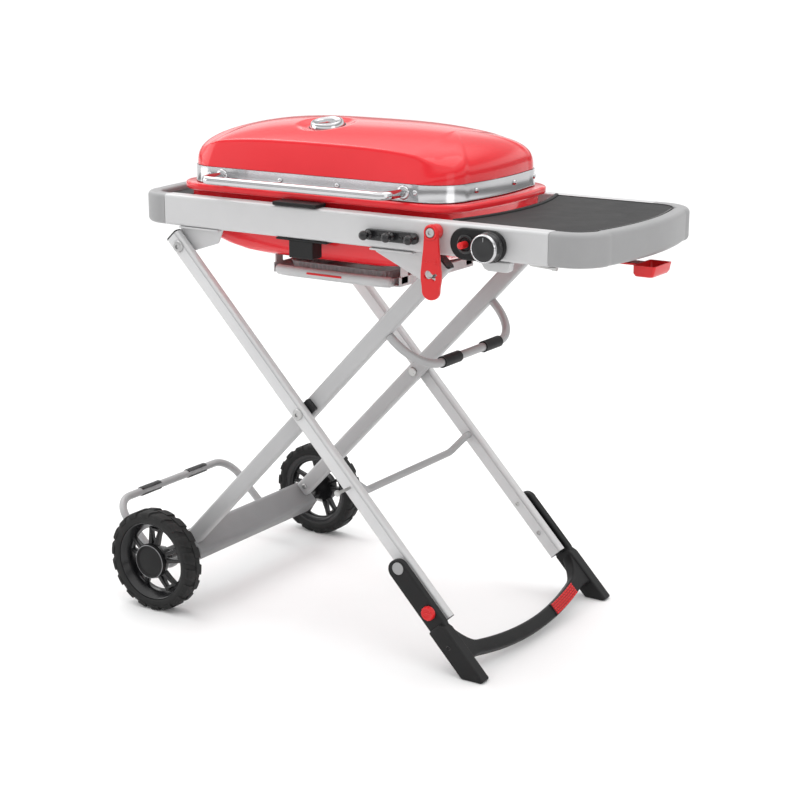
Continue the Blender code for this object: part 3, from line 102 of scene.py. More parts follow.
def surface(name, tones, rough, metallic=0.0, coat=0.0, grain=0.0, grain_size=600.0, blotch=6.0, wear=0.0,
            specular=0.5, bump_distance=0.0004):
    """A Principled material: two tones mixed by slow noise, roughness that varies, a fine grain and worn edges."""
    mat = bpy.data.materials.new(name)
    mat.use_nodes = True
    tree = mat.node_tree
    shader = tree.nodes["Principled BSDF"]
    shader.inputs["Metallic"].default_value = metallic
    shader.inputs["Coat Weight"].default_value = coat
    shader.inputs["Coat Roughness"].default_value = 0.03
    shader.inputs["Specular IOR Level"].default_value = specular
    place = node(tree, "ShaderNodeTexCoord")
    slow = node(tree, "ShaderNodeTexNoise", Scale=blotch, Detail=4.0, Roughness=0.6)
    tree.links.new(place.outputs["Object"], slow.inputs["Vector"])
    ramp = node(tree, "ShaderNodeValToRGB")
    ramp.color_ramp.elements[0].position = 0.35
    ramp.color_ramp.elements[0].color = (*tones[0], 1)
    ramp.color_ramp.elements[1].position = 0.65
    ramp.color_ramp.elements[1].color = (*tones[1], 1)
    tree.links.new(slow.outputs["Fac"], ramp.inputs["Fac"])
    colour = ramp.outputs["Color"]
    if wear:
        geometry = node(tree, "ShaderNodeNewGeometry")
        edge = node(tree, "ShaderNodeMapRange")
        edge.inputs["From Min"].default_value = 0.52
        edge.inputs["From Max"].default_value = 0.62
        edge.inputs["To Max"].default_value = wear
        tree.links.new(geometry.outputs["Pointiness"], edge.inputs["Value"])
        mix = node(tree, "ShaderNodeMix", data_type="RGBA")
        mix.inputs["B"].default_value = (*[min(1.0, t * 1.5 + 0.03) for t in tones[1]], 1)
        tree.links.new(edge.outputs["Result"], mix.inputs["Factor"])
        tree.links.new(colour, mix.inputs["A"])
        colour = mix.outputs["Result"]
    tree.links.new(colour, shader.inputs["Base Color"])
    spread = node(tree, "ShaderNodeMapRange")
    spread.inputs["To Min"].default_value = rough * 0.85
    spread.inputs["To Max"].default_value = min(1.0, rough * 1.18)
    smudge = node(tree, "ShaderNodeTexNoise", Scale=blotch * 5, Detail=6.0, Roughness=0.65)
    tree.links.new(place.outputs["Object"], smudge.inputs["Vector"])
    tree.links.new(smudge.outputs["Fac"], spread.inputs["Value"])
    tree.links.new(spread.outputs["Result"], shader.inputs["Roughness"])
    if grain:
        fine = node(tree, "ShaderNodeTexNoise", Scale=grain_size, Detail=3.0, Roughness=0.6)
        tree.links.new(place.outputs["Object"], fine.inputs["Vector"])
        bump = node(tree, "ShaderNodeBump", Strength=grain, Distance=bump_distance)
        tree.links.new(fine.outputs["Fac"], bump.inputs["Height"])
        tree.links.new(bump.outputs["Normal"], shader.inputs["Normal"])
    return mat


def brushed(name, tones, rough, stretch):
    """Metal brushed along one direction: noise stretched by the given scales drives roughness and bump."""
    mat = surface(name, tones, rough, metallic=1.0)
    tree = mat.node_tree
    shader = tree.nodes["Principled BSDF"]
    place = node(tree, "ShaderNodeTexCoord")
    squeeze = node(tree, "ShaderNodeMapping")
    squeeze.inputs["Scale"].default_value = stretch
    lines = node(tree, "ShaderNodeTexNoise", Scale=300.0, Detail=2.0)
    tree.links.new(place.outputs["Object"], squeeze.inputs["Vector"])
    tree.links.new(squeeze.outputs["Vector"], lines.inputs["Vector"])
    bump = node(tree, "ShaderNodeBump", Strength=0.06, Distance=0.0002)
    tree.links.new(lines.outputs["Fac"], bump.inputs["Height"])
    tree.links.new(bump.outputs["Normal"], shader.inputs["Normal"])
    return mat


SILVER = {"rough": 0.42, "metallic": 0.15, "grain": 0.10, "grain_size": 1400.0, "wear": 0.25}

# each look is a material and its slot name
LOOKS = {
    "silver": (surface("silver_paint", ((0.480, 0.480, 0.485), (0.525, 0.525, 0.528)), **SILVER), "silver_paint"),
    # a darker copy of the silver paint: painted shade for the inner legs, the brace and the hoops, which sit in shade
    "silver_painted_shade": (surface("silver_paint_with_painted_shade", ((0.330, 0.330, 0.335), (0.370, 0.370, 0.373)), **SILVER),
                   "silver_paint"),
    # a still darker copy of the silver paint: painted shade for the axle beam low under the frame
    "silver_painted_deep_shade": (surface("silver_paint_with_painted_deep_shade", ((0.195, 0.195, 0.200), (0.225, 0.225, 0.228)), **SILVER),
                    "silver_paint"),
    # a darker red for the pad's base, which shows only in the gaps between the bricks: painted shade
    "red_painted_shade": (surface("red_moulding_painted_shade", ((0.20, 0.004, 0.005), (0.24, 0.005, 0.007)), 0.35, grain=0.05,
                         grain_size=700.0, specular=0.3), "red_plastic"),
    "grey": (surface("grey_moulding", ((0.285, 0.285, 0.288), (0.310, 0.310, 0.313)), 0.46, grain=0.18,
                     grain_size=900.0, wear=0.15, specular=0.4), "grey_plastic"),
    "shelf": (surface("shelf_panel", ((0.030, 0.030, 0.031), (0.040, 0.040, 0.040)), 0.66, grain=0.45,
                      grain_size=1100.0, specular=0.2), "shelf"),
    "enamel": (surface("red_enamel", ((0.70, 0.014, 0.022), (0.75, 0.018, 0.027)), 0.24, coat=0.60, grain=0.03,
                       grain_size=220.0, blotch=4.0, specular=0.12), "red_enamel"),
    "chrome": (surface("polished_chrome", ((0.50, 0.50, 0.51), (0.56, 0.56, 0.57)), 0.09, metallic=1.0, grain=0.02,
                       grain_size=500.0), "chrome"),
    "steel": (brushed("turned_steel", ((0.40, 0.40, 0.40), (0.47, 0.47, 0.46)), 0.28, (1.0, 12.0, 1.0)), "steel"),
    "band": (brushed("band_metal", ((0.50, 0.50, 0.51), (0.57, 0.57, 0.58)), 0.16, (0.4, 0.4, 9.0)), "chrome"),
    "iron": (surface("grate_iron", ((0.016, 0.016, 0.016), (0.035, 0.033, 0.032)), 0.55, grain=0.6,
                     grain_size=380.0, blotch=20.0), "cast_iron"),
    "brass": (surface("valve_brass", ((0.40, 0.27, 0.08), (0.50, 0.34, 0.12)), 0.28, metallic=1.0, grain=0.05),
              "brass"),
    "black": (surface("black_moulding", ((0.006, 0.006, 0.0065), (0.010, 0.010, 0.0105)), 0.48, grain=0.30,
                      grain_size=1300.0, wear=0.35, specular=0.24), "black_plastic"),
    "gloss_black": (surface("gloss_black", ((0.006, 0.006, 0.007), (0.010, 0.010, 0.011)), 0.22, grain=0.04,
                            grain_size=600.0), "black_plastic"),
    "tyre": (surface("tyre_rubber", ((0.009, 0.009, 0.009), (0.016, 0.016, 0.016)), 0.66, grain=0.40,
                     grain_size=800.0, blotch=14.0, wear=0.6, specular=0.25), "tyre"),
    "red": (surface("red_moulding", ((0.56, 0.008, 0.010), (0.61, 0.010, 0.013)), 0.30, grain=0.05,
                    grain_size=700.0, wear=0.2, specular=0.4), "red_plastic"),
    "foil": (surface("pressed_foil", ((0.62, 0.62, 0.63), (0.72, 0.72, 0.73)), 0.30, metallic=0.25, grain=0.20,
                     grain_size=140.0, blotch=20.0), "foil"),
    "dial": (surface("dial_face", ((0.26, 0.26, 0.27), (0.34, 0.34, 0.35)), 0.35, metallic=0.5, grain=0.04),
             "chrome"),
}


# ---- making pieces
def piece(name, bm, look, body, nodes=(), smooth=38, bevel=0.0, segments=3, bevel_angle=35, solid=0.0):
    """Finish a bmesh as a named piece that rides on a CAD body and stands for the given CAD nodes."""
    bmesh.ops.recalc_face_normals(bm, faces=bm.faces)
    mesh = bpy.data.meshes.new(name)
    bm.to_mesh(mesh)
    bm.free()
    obj = bpy.data.objects.new(name, mesh)
    bpy.context.scene.collection.objects.link(obj)
    material, slot_name = LOOKS[look]
    mesh.materials.append(material)
    mesh.shade_smooth()
    mesh.set_sharp_from_angle(angle=radians(smooth))
    if solid:
        mod = obj.modifiers.new("solid", "SOLIDIFY")
        mod.thickness = solid
        mod.offset = -1
    if bevel:
        mod = obj.modifiers.new("edges", "BEVEL")
        mod.width = bevel
        mod.segments = segments
        mod.limit_method = "ANGLE"
        mod.angle_limit = radians(bevel_angle)
        mod.harden_normals = True
    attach(obj, body)
    if nodes:
        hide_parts(*nodes)
    return obj


def cut(obj, bm):
    """Subtract a bmesh from a piece; the cutter itself is deleted once the result is kept in the mesh."""
    bmesh.ops.recalc_face_normals(bm, faces=bm.faces)
    mesh = bpy.data.meshes.new("cutter")
    bm.to_mesh(mesh)
    bm.free()
    cutter = bpy.data.objects.new("cutter", mesh)
    bpy.context.scene.collection.objects.link(cutter)
    mod = obj.modifiers.new("cut", "BOOLEAN")
    mod.operation = "DIFFERENCE"
    mod.solver = "EXACT"
    mod.object = cutter
    # the cut comes before the rounded edges
    while obj.modifiers[0] != mod:
        index = list(obj.modifiers).index(mod)
        obj.modifiers.move(index, 0)
    bevels = [(m.name, m.show_viewport) for m in obj.modifiers if m != mod]
    for name, _ in bevels:
        obj.modifiers[name].show_viewport = False
    bpy.context.view_layer.update()
    graph = bpy.context.evaluated_depsgraph_get()
    result = bpy.data.meshes.new_from_object(obj.evaluated_get(graph))
    obj.modifiers.remove(mod)
    for name, shown in bevels:
        obj.modifiers[name].show_viewport = shown
    old = obj.data
    obj.data = result
    bpy.data.meshes.remove(old)
    bpy.data.objects.remove(cutter)
    bpy.data.meshes.remove(mesh)
    result.shade_smooth()
    result.set_sharp_from_angle(angle=radians(38))


def loft(bm, rows, closed=True, caps=True, wrap=False):
    """Skin rows of points; closed joins each row's ends, wrap joins the last row to the first."""
    made = [[bm.verts.new(p) for p in row] for row in rows]
    pairs = list(zip(made, made[1:]))
    if wrap:
        pairs.append((made[-1], made[0]))
    for a, b in pairs:
        count = len(a)
        for i in range(count if closed else count - 1):
            j = (i + 1) % count
            bm.faces.new((a[i], a[j], b[j], b[i]))
    if caps and not wrap:
        bm.faces.new(made[0])
        bm.faces.new(made[-1])
    return made


def slab(bm, outline, place, depth):
    """Extrude a 2-D outline placed in space by place(u, v) along the depth vector."""
    face = bm.faces.new([bm.verts.new(place(u, v)) for u, v in outline])
    grown = bmesh.ops.extrude_face_region(bm, geom=[face])
    moved = [item for item in grown["geom"] if isinstance(item, bmesh.types.BMVert)]
    bmesh.ops.translate(bm, verts=moved, vec=depth)


def block(bm, low, high):
    low, high = Vector(low), Vector(high)
    size = Matrix.Diagonal((*[abs(high[i] - low[i]) for i in range(3)], 1))
    bmesh.ops.create_cube(bm, size=1.0, matrix=Matrix.Translation((low + high) / 2) @ size)


def turned(bm, profile, centre, axis, segments=48):
    """Revolve (radius, distance) points about an axis; a zero radius closes an end."""
    axis = Vector(axis).normalized()
    side = axis.orthogonal().normalized()
    other = axis.cross(side)
    rows = []
    for radius, along in profile:
        ring = []
        for k in range(segments if radius else 1):
            turn = 2 * pi * k / segments
            ring.append(bm.verts.new(centre + axis * along + radius * (cos(turn) * side + sin(turn) * other)))
        rows.append(ring)
    pairs = list(zip(rows, rows[1:]))
    if profile[0][0]:
        pairs.append((rows[-1], rows[0]))
    for a, b in pairs:
        for k in range(segments):
            j = (k + 1) % segments
            if len(a) == 1:
                bm.faces.new((a[0], b[j], b[k]))
            elif len(b) == 1:
                bm.faces.new((a[k], a[j], b[0]))
            else:
                bm.faces.new((a[k], a[j], b[j], b[k]))


def arc(centre, radius, start, stop, steps):
    """Points (u, v) along an arc, angles in radians."""
    turns = [start + (stop - start) * k / steps for k in range(steps + 1)]
    return [(centre[0] + radius * cos(t), centre[1] + radius * sin(t)) for t in turns]


def rounded_rect(low, high, radius, steps=6):
    corners = ((high[0], high[1], 0), (low[0], high[1], 1), (low[0], low[1], 2), (high[0], low[1], 3))
    loop = []
    for u, v, quarter in corners:
        centre = (u - radius if quarter in (0, 3) else u + radius, v - radius if quarter < 2 else v + radius)
        loop += arc(centre, radius, pi / 2 * quarter, pi / 2 * (quarter + 1), steps)
    return loop


def circle(radius, segments=24):
    return [(radius * cos(2 * pi * k / segments), radius * sin(2 * pi * k / segments)) for k in range(segments)]


def round_path(points, radii, steps=10):
    """Round the inner corners of a polyline."""
    path = [Vector(points[0])]
    for before, corner, after, radius in zip(points, points[1:], points[2:], radii):
        corner = Vector(corner)
        a = (Vector(before) - corner).normalized()
        b = (Vector(after) - corner).normalized()
        half = a.angle(b) / 2
        centre = corner + (a + b).normalized() * (radius / sin(half))
        first = corner + a * (radius / tan(half)) - centre
        last = corner + b * (radius / tan(half)) - centre
        fan = first.angle(last)
        for k in range(steps + 1):
            t = k / steps
            path.append(centre + first * (sin((1 - t) * fan) / sin(fan)) + last * (sin(t * fan) / sin(fan)))
    path.append(Vector(points[-1]))
    return path


def pipe(bm, path, section, start_side=None, taper=0.0):
    """Carry a closed (u, v) section along a path without twist; taper rounds both ends by that length."""
    tangents = []
    for i in range(len(path)):
        ahead, behind = path[min(i + 1, len(path) - 1)], path[max(i - 1, 0)]
        tangents.append((ahead - behind).normalized())
    side = start_side or tangents[0].orthogonal()
    rows = []
    for point, forward in zip(path, tangents):
        side = (side - forward * side.dot(forward)).normalized()
        other = forward.cross(side)
        rows.append([point + u * side + v * other for u, v in section])
    if taper:
        for end, row in ((0, rows[0]), (-1, rows[-1])):
            away = -tangents[0] if end == 0 else tangents[-1]
            dome = [[path[end] + (p - path[end]) * cos(t) + away * (taper * sin(t)) for p in row]
                    for t in (pi / 6, pi / 3, 0.47 * pi)]
            rows = dome[::-1] + rows if end == 0 else rows + dome
    loft(bm, rows)


def screw_head(bm, centre, axis, radius, height=0.5, socket=True):
    """A domed screw head with a hex socket, its seat at centre."""
    tall = radius * height
    rim = [(radius, 0.0), (radius, tall * 0.35), (radius * 0.86, tall * 0.78), (radius * 0.55, tall)]
    if socket:
        turned(bm, [(0, -0.001), (radius, -0.001)] + rim + [(radius * 0.40, tall), (radius * 0.38, tall * 0.35),
                                                            (0, tall * 0.30)], centre, axis, 18)
    else:
        turned(bm, [(0, -0.001), (radius, -0.001)] + rim + [(0, tall * 1.05)], centre, axis, 18)


# ---- outlines in plan
def end_curve(end_x, side_y, bulge, corner, steps=16):
    """One rounded, bulging end seen from above, from its corner at -side_y round to +side_y."""
    inner_y = side_y - corner
    tilt = atan(2 * bulge * inner_y / side_y**2)
    centre_x = end_x - bulge * (inner_y / side_y) ** 2 - corner * cos(tilt)
    centre_y = -inner_y
    points = arc((centre_x, centre_y), corner, -pi / 2, -tilt, steps)
    straight = points[-1][1]
    middle = [straight * (1 - k / steps) for k in range(1, 2 * steps)]
    points += [(end_x - bulge * (y / side_y) ** 2, y) for y in middle]
    points += [(x, -y) for x, y in reversed(points[: steps + 1])]
    return points


def plan(half_x, half_y, bulge, corner, steps=16, straight=0):
    """A closed outline with bulging ends; straight adds that many points along each long side."""
    right = end_curve(half_x, half_y, bulge, corner, steps)
    last = right[-1][0]
    side = [(last - 2 * last * k / (straight + 1), half_y) for k in range(1, straight + 1)]
    half = right + side
    return half + [(-x, -y) for x, y in half]


# ---- table frame
RAIL_LOW, RAIL_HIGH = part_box("front_rail")
RAIL_FACE = -RAIL_LOW.y
RAIL_Z = (RAIL_LOW.z, RAIL_HIGH.z)
RAIL_X = (RAIL_LOW.x - PIVOT.x, RAIL_HIGH.x - PIVOT.x)
RAIL_DEEP = -RAIL_HIGH.y
SEAM = 0.0006
RING_WIDTH = 0.0262
LEFT_BULGE, RIGHT_BULGE, RIM_BULGE, LID_BULGE = 0.0225, 0.0322, 0.0250, 0.0220


def rails():
    wall, radius = 0.0026, 0.0065
    for label, side in SIDES:
        low, high = RAIL_Z
        face = RAIL_FACE
        out = arc((face - radius, low + radius), radius, -pi / 2, 0, 6)
        out += arc((face - radius, high - radius), radius, 0, pi / 2, 6)
        inn = arc((face - radius, high - radius), radius - wall, pi / 2, 0, 6)
        inn += arc((face - radius, low + radius), radius - wall, 0, -pi / 2, 6)
        loop = [(RAIL_DEEP, low)] + out + [(RAIL_DEEP, high), (RAIL_DEEP, high - wall)] + inn
        loop += [(RAIL_DEEP, low + wall)]
        bm = bmesh.new()
        length = X * (RAIL_X[1] - RAIL_X[0])
        slab(bm, loop, lambda u, v: at(RAIL_X[0], side * u, v), length)
        piece("rail_" + label, bm, "silver", "table", [label + "_rail"], bevel=0.0004, segments=1)


def end_caps():
    """The two plastic ends: a rounded section swept round each end of the frame."""
    height = RAIL_Z[1] - RAIL_Z[0]
    for name, sign in (("left_end_cap", -1), ("right_end_cap", 1)):
        low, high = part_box(name)
        tip = (high.x if sign > 0 else -low.x) - sign * PIVOT.x
        bulge, corner = (RIGHT_BULGE, 0.0707) if sign > 0 else (LEFT_BULGE, 0.0626)
        seam = RAIL_X[1] + SEAM if sign > 0 else -RAIL_X[0] + SEAM
        half = RING_WIDTH / 2
        curve = end_curve(tip - half, RAIL_FACE - half, bulge, corner - half, 22)
        points = [(seam, -RAIL_FACE + half)] + curve + [(seam, RAIL_FACE - half)]
        path = [at(sign * x, y, sum(RAIL_Z) / 2) for x, y in points]
        section = []
        for u, v, quarter, radius in ((half, height / 2, 0, 0.0085), (-half, height / 2, 1, 0.0050),
                                      (-half, -height / 2, 2, 0.0030), (half, -height / 2, 3, 0.0085)):
            centre = (u - radius if quarter in (0, 3) else u + radius, v - radius if quarter < 2 else v + radius)
            section += arc(centre, radius, pi / 2 * quarter, pi / 2 * (quarter + 1), 6)
        bm = bmesh.new()
        rows = []
        for i, point in enumerate(path):
            forward = (path[min(i + 1, len(path) - 1)] - path[max(i - 1, 0)]).normalized()
            across = forward.cross(Z) * sign
            rows.append([point + u * across + v * Z for u, v in section])
        loft(bm, rows)
        piece(name + "_shell", bm, "grey", "table", [name], smooth=50)
    floor_z, lap, inset = 0.7975, 0.001, 0.020
    tip, side = -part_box("left_end_cap")[0].x + PIVOT.x - inset, RAIL_FACE - inset
    outline = [(-x, y) for x, y in end_curve(tip, side, LEFT_BULGE, 0.0420, 12)]
    outline = [(RAIL_X[0] - lap, -RAIL_FACE + inset)] + outline + [(RAIL_X[0] - lap, RAIL_FACE - inset)]
    bm = bmesh.new()
    slab(bm, outline, lambda u, v: at(u, v, floor_z), Z * -0.003)
    piece("left_end_floor", bm, "shelf", "table", bevel=0.0006)


TRIM_BULGE, TRIM_HALF = 0.0300, 0.175


def trim_x(y, offset=0.0):
    """The shelf's hollowed edge, which follows the end of the bowl's rim."""
    return 0.3400 + offset - TRIM_BULGE * (y / TRIM_HALF) ** 2


def shelf():
    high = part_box("side_shelf")[1]
    top, half = high.z, high.y
    tip = high.x - PIVOT.x
    strip = 0.0016
    curve = end_curve(tip - strip, half - strip, RIGHT_BULGE, 0.0440, 16)
    count = 24
    ys = [(half - strip) * (1 - 2 * k / count) for k in range(count + 1)]
    bm = bmesh.new()
    slab(bm, curve + [(trim_x(y, 0.0083), y) for y in ys], lambda u, v: at(u, v, top - 0.005), Z * 0.005)
    piece("shelf_panel", bm, "shelf", "table", ["side_shelf"], bevel=0.0009)
    edge = end_curve(tip, half, RIGHT_BULGE, 0.0445, 16)
    path = [at(trim_x(half, 0.008), -half, top - 0.0006)]
    path += [at(x, y, top - 0.0006) for x, y in edge] + [at(trim_x(half, 0.008), half, top - 0.0006)]
    bm = bmesh.new()
    pipe(bm, path, rounded_rect((-0.0012, -0.0016), (0.0012, 0.0016), 0.0006, 2), start_side=Z.cross(X))
    piece("shelf_gasket", bm, "gloss_black", "table")
    bm = bmesh.new()
    ys = [-0.1868 + 0.3736 * k / 40 for k in range(41)]
    rows = []
    section = rounded_rect((-0.0042, -0.0090), (0.0042, 0.0036), 0.0034, 5)
    for y in ys:
        centre = at(trim_x(y, 0.0040), y, top)
        slope = Vector((-2 * TRIM_BULGE * y / TRIM_HALF**2, 1, 0)).normalized()
        across = slope.cross(Z)
        rows.append([centre + u * across + v * Z for u, v in section])
    loft(bm, rows)
    piece("shelf_edge_strip", bm, "black", "table", ["shelf_trim"], smooth=50)


# ---- bowl
RIM_LOW, RIM_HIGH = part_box("bowl")


def bowl():
    rim_x, rim_y, rim_top = (RIM_HIGH.x - RIM_LOW.x) / 2, RIM_HIGH.y, RIM_HIGH.z
    bulge, corner, r = RIM_BULGE, 0.0680, 0.0048
    rim_low = rim_top - 0.0140
    levels = []
    for k in range(7):
        t = pi / 2 * k / 6
        inset = r * (1 - sin(t))
        levels.append((rim_x - inset, rim_y - inset, bulge, corner - inset, rim_top - r * (1 - cos(t))))
    for k in range(7):
        t = pi / 2 * k / 6
        inset = r * (1 - cos(t))
        levels.append((rim_x - inset, rim_y - inset, bulge, corner - inset, rim_low + r * (1 - sin(t))))
    neck = ((0.3130, 0.1710, 0.0240, 0.0450, rim_low - 0.0004), (0.3110, 0.1695, 0.0240, 0.0450, rim_low - 0.0030),
            (0.3100, 0.1690, 0.0240, 0.0450, 0.7950), (0.3085, 0.1680, 0.0240, 0.0450, 0.7780),
            (0.3050, 0.1668, 0.0250, 0.0460, 0.7620), (0.2960, 0.1642, 0.0270, 0.0480, 0.7450),
            (0.2780, 0.1600, 0.0300, 0.0520, 0.7290), (0.2500, 0.1550, 0.0300, 0.0550, 0.7165),
            (0.2150, 0.1490, 0.0260, 0.0560, 0.7075), (0.1700, 0.1380, 0.0200, 0.0540, 0.7015),
            (0.1200, 0.1100, 0.0160, 0.0460, 0.6985), (0.0700, 0.0700, 0.0100, 0.0350, 0.6975))
    levels += list(neck)
    wall = 0.0028
    inside = [(hx - wall, hy - wall, b, c - wall, z + wall) for hx, hy, b, c, z in reversed(neck[1:])]
    inside.append((0.3020, 0.1610, 0.0240, 0.0430, rim_top - 0.0025))
    inside.append((0.3035, 0.1625, 0.0240, 0.0430, rim_top))
    levels += inside
    bm = bmesh.new()
    rows = []
    for half_x, half_y, b, c, z in levels:
        rows.append([at(x, y, z) for x, y in plan(half_x, half_y, b, c, 14, 3)])
    loft(bm, rows, wrap=True)
    # the loft leaves a hole in the middle of the floor, which a dished drain closes
    piece("bowl_shell", bm, "enamel", "table", ["bowl"], smooth=50)
    bm = bmesh.new()
    rows = []
    for scale, z in ((1.04, 0.6992), (1.0, 0.6978), (0.6, 0.6974), (0.25, 0.6970), (0.25, 0.6990), (0.6, 0.6994),
                     (1.0, 0.6998), (1.04, 0.7004)):
        rows.append([at(x * scale, y * scale, z) for x, y in plan(0.0700, 0.0700, 0.0100, 0.0350, 14, 3)])
    loft(bm, rows, wrap=True)
    piece("bowl_drain", bm, "enamel", "table", smooth=50)


def grate():
    low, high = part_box("cooking_grate")
    (x0, x1), y0, y1 = span_x("cooking_grate"), low.y, high.y
    z = (low.z + high.z) / 2
    bm = bmesh.new()
    corner = 0.026
    loop = rounded_rect((x0 + 0.004, y0 + 0.004), (x1 - 0.004, y1 - 0.004), corner, 8)
    path = [at(u, v, z) for u, v in loop]
    section = rounded_rect((-0.0038, -0.0048), (0.0038, 0.0048), 0.0016, 3)
    rows = []
    for i, point in enumerate(path):
        forward = (path[(i + 1) % len(path)] - path[i - 1]).normalized()
        across = forward.cross(Z)
        rows.append([point + u * across + v * Z for u, v in section])
    loft(bm, rows, wrap=True)
    piece("grate_frame", bm, "iron", "table", ["cooking_grate"], smooth=50)
    bm = bmesh.new()
    count = 18
    for k in range(count):
        x = x0 + 0.020 + (x1 - x0 - 0.040) * k / (count - 1)
        path = [at(x, y0 + 0.005, z), at(x, y1 - 0.005, z)]
        pipe(bm, path, [(0.0020, -0.0040), (0.0032, 0.0040), (0.0018, 0.0048), (-0.0018, 0.0048), (-0.0032, 0.0040),
                        (-0.0020, -0.0040)], start_side=X)
    for y in (-0.045, 0.045):
        pipe(bm, [at(x0 + 0.006, y, z - 0.001), at(x1 - 0.006, y, z - 0.001)],
             rounded_rect((-0.0022, -0.0030), (0.0022, 0.0030), 0.0010, 2), start_side=Y)
    piece("grate_bars", bm, "iron", "table", smooth=40)


def burner():
    z = 0.7560
    points = [at(0.2300, -0.0850, z), at(-0.2150, -0.0850, z), at(-0.2150, 0.0850, z), at(0.2300, 0.0850, z)]
    bm = bmesh.new()
    pipe(bm, round_path(points, (0.050, 0.050), 12), circle(0.0110, 20), taper=0.004)
    piece("burner_pipe", bm, "steel", "table", ["burner_tube"], smooth=50)
    bm = bmesh.new()
    # each port hole is drawn as a small black disc: painted shade for the dark inside of the hole
    for side in (-1, 1):
        for k in range(24):
            x = -0.150 + 0.016 * k
            turned(bm, [(0, 0.0096), (0.0012, 0.0096), (0.0012, 0.0114), (0, 0.0116)], at(x, side * 0.085, z), Z, 8)
    piece("burner_port_painted_shade", bm, "gloss_black", "table")


# ---- lid
LID_HALF_X, LID_HALF_Y = 0.3020, 0.1750
LID_CORNER = 0.0660
BAND_TOP, LID_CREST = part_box("lid_band")[1].z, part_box("lid")[1].z
CREASE_R, CREASE_RISE = 0.9430, 0.6350
GAUGE = at(-0.0430, -0.0600, 0.9455)
GAUGE_AXIS = Vector((0, -sin(radians(10)), cos(radians(10))))
DISH_R, DISH_DEPTH = (0.0360, 0.0580), 0.0070


def oval(e, power=2.9):
    return max(0.0, 1 - abs(e) ** power) ** (1 / power)


def soft_min(a, b, sharp=34.0):
    return -log(exp(-sharp * a) + exp(-sharp * b)) / sharp


def lid_section(r):
    """Rise along a front-to-back section: an almost upright panel, a soft crease, then the crowned top."""
    panel = (1 - r) / (1 - CREASE_R) * CREASE_RISE
    crown = 1 - (1 - CREASE_RISE - 0.015) * (r / CREASE_R) ** 2.1
    start = soft_min(0.0, 1 - (1 - CREASE_RISE - 0.015) * (1 / CREASE_R) ** 2.1)
    return max(0.0, soft_min(panel, crown) - start * r**60)


def lid_point(x, y, r, inset):
    """A point on the lid above the outline point (x, y); r runs from 1 at the rim to 0 at the spine."""
    spine = max(-0.200, min(0.200, x))
    px = spine + (x - spine) * r
    py = y * r
    flat = LID_CREST - BAND_TOP - inset
    front = flat * oval(px / LID_HALF_X) * lid_section(r)
    start = abs(spine) / LID_HALF_X
    end = flat * oval(start + r * (1 - start))
    turn = max(0.0, min(1.0, (abs(x) - 0.215) / (LID_HALF_X - 0.030 - 0.215)))
    weight = turn * turn * (3 - 2 * turn)
    side = max(0.0, min(1.0, (abs(y) / LID_HALF_Y - 0.80) / 0.20))
    weight *= 1 - 0.25 * side
    return at(px, py, BAND_TOP + SEAM + front * (1 - weight) + end * weight - dimple(px, py))


def dimple(x, y):
    """How far the lid sinks round the gauge, so that the bezel stands out of a shallow dish."""
    away = (hypot(x + PIVOT.x - GAUGE.x, y - GAUGE.y) - DISH_R[0]) / (DISH_R[1] - DISH_R[0])
    away = max(0.0, min(1.0, away))
    return DISH_DEPTH * (1 - away * away * (3 - 2 * away))


def lid():
    bm = bmesh.new()
    count = 66
    outline = plan(LID_HALF_X - 0.0012, LID_HALF_Y - 0.0012, LID_BULGE, LID_CORNER, 16, 90)
    rows = []
    for k in range(count):
        r = 1 - (k / count) ** 2.0
        rows.append([lid_point(x, y, r, 0.0) for x, y in outline])
    made = loft(bm, rows, caps=False)
    last = made[-1]
    crest = [lid_point(x, y, 0.0, 0.0) for x, y in outline]
    spine = [bm.verts.new(p) for p in crest]
    for i in range(len(last)):
        j = (i + 1) % len(last)
        bm.faces.new((last[i], last[j], spine[j], spine[i]))
    bmesh.ops.remove_doubles(bm, verts=bm.verts, dist=0.00002)
    bmesh.ops.dissolve_degenerate(bm, edges=bm.edges, dist=0.00001)
    shell = piece("lid_shell", bm, "enamel", "lid", ["lid"], smooth=60, solid=0.0022)
    bm = bmesh.new()
    turned(bm, [(0, -0.040), (0.0342, -0.040), (0.0342, 0.050), (0, 0.050)], GAUGE, GAUGE_AXIS, 64)
    graph = bpy.context.evaluated_depsgraph_get()
    solid_mesh = bpy.data.meshes.new_from_object(shell.evaluated_get(graph))
    shell.modifiers.clear()
    shell.data = solid_mesh
    cut(shell, bm)
    bm = bmesh.new()
    profile = [(0.0338, -0.0090), (0.0352, -0.0092), (0.0356, -0.0130), (0.0338, -0.0132)]
    turned(bm, profile + profile[:1], GAUGE, GAUGE_AXIS, 64)
    piece("gauge_collar", bm, "gloss_black", "lid", smooth=40)


def lid_ring(bm, levels):
    """A closed ring round the lid, from outlines given as (outset, change of corner radius, z)."""
    rows = []
    for out, corner, z in levels:
        outline = plan(LID_HALF_X + out, LID_HALF_Y + out, LID_BULGE, LID_CORNER + corner, 16, 6)
        rows.append([at(x, y, z) for x, y in outline])
    loft(bm, rows, wrap=True)


SCREW = (0.0048, 0.8, False)  # radius, height as a share of it, no socket


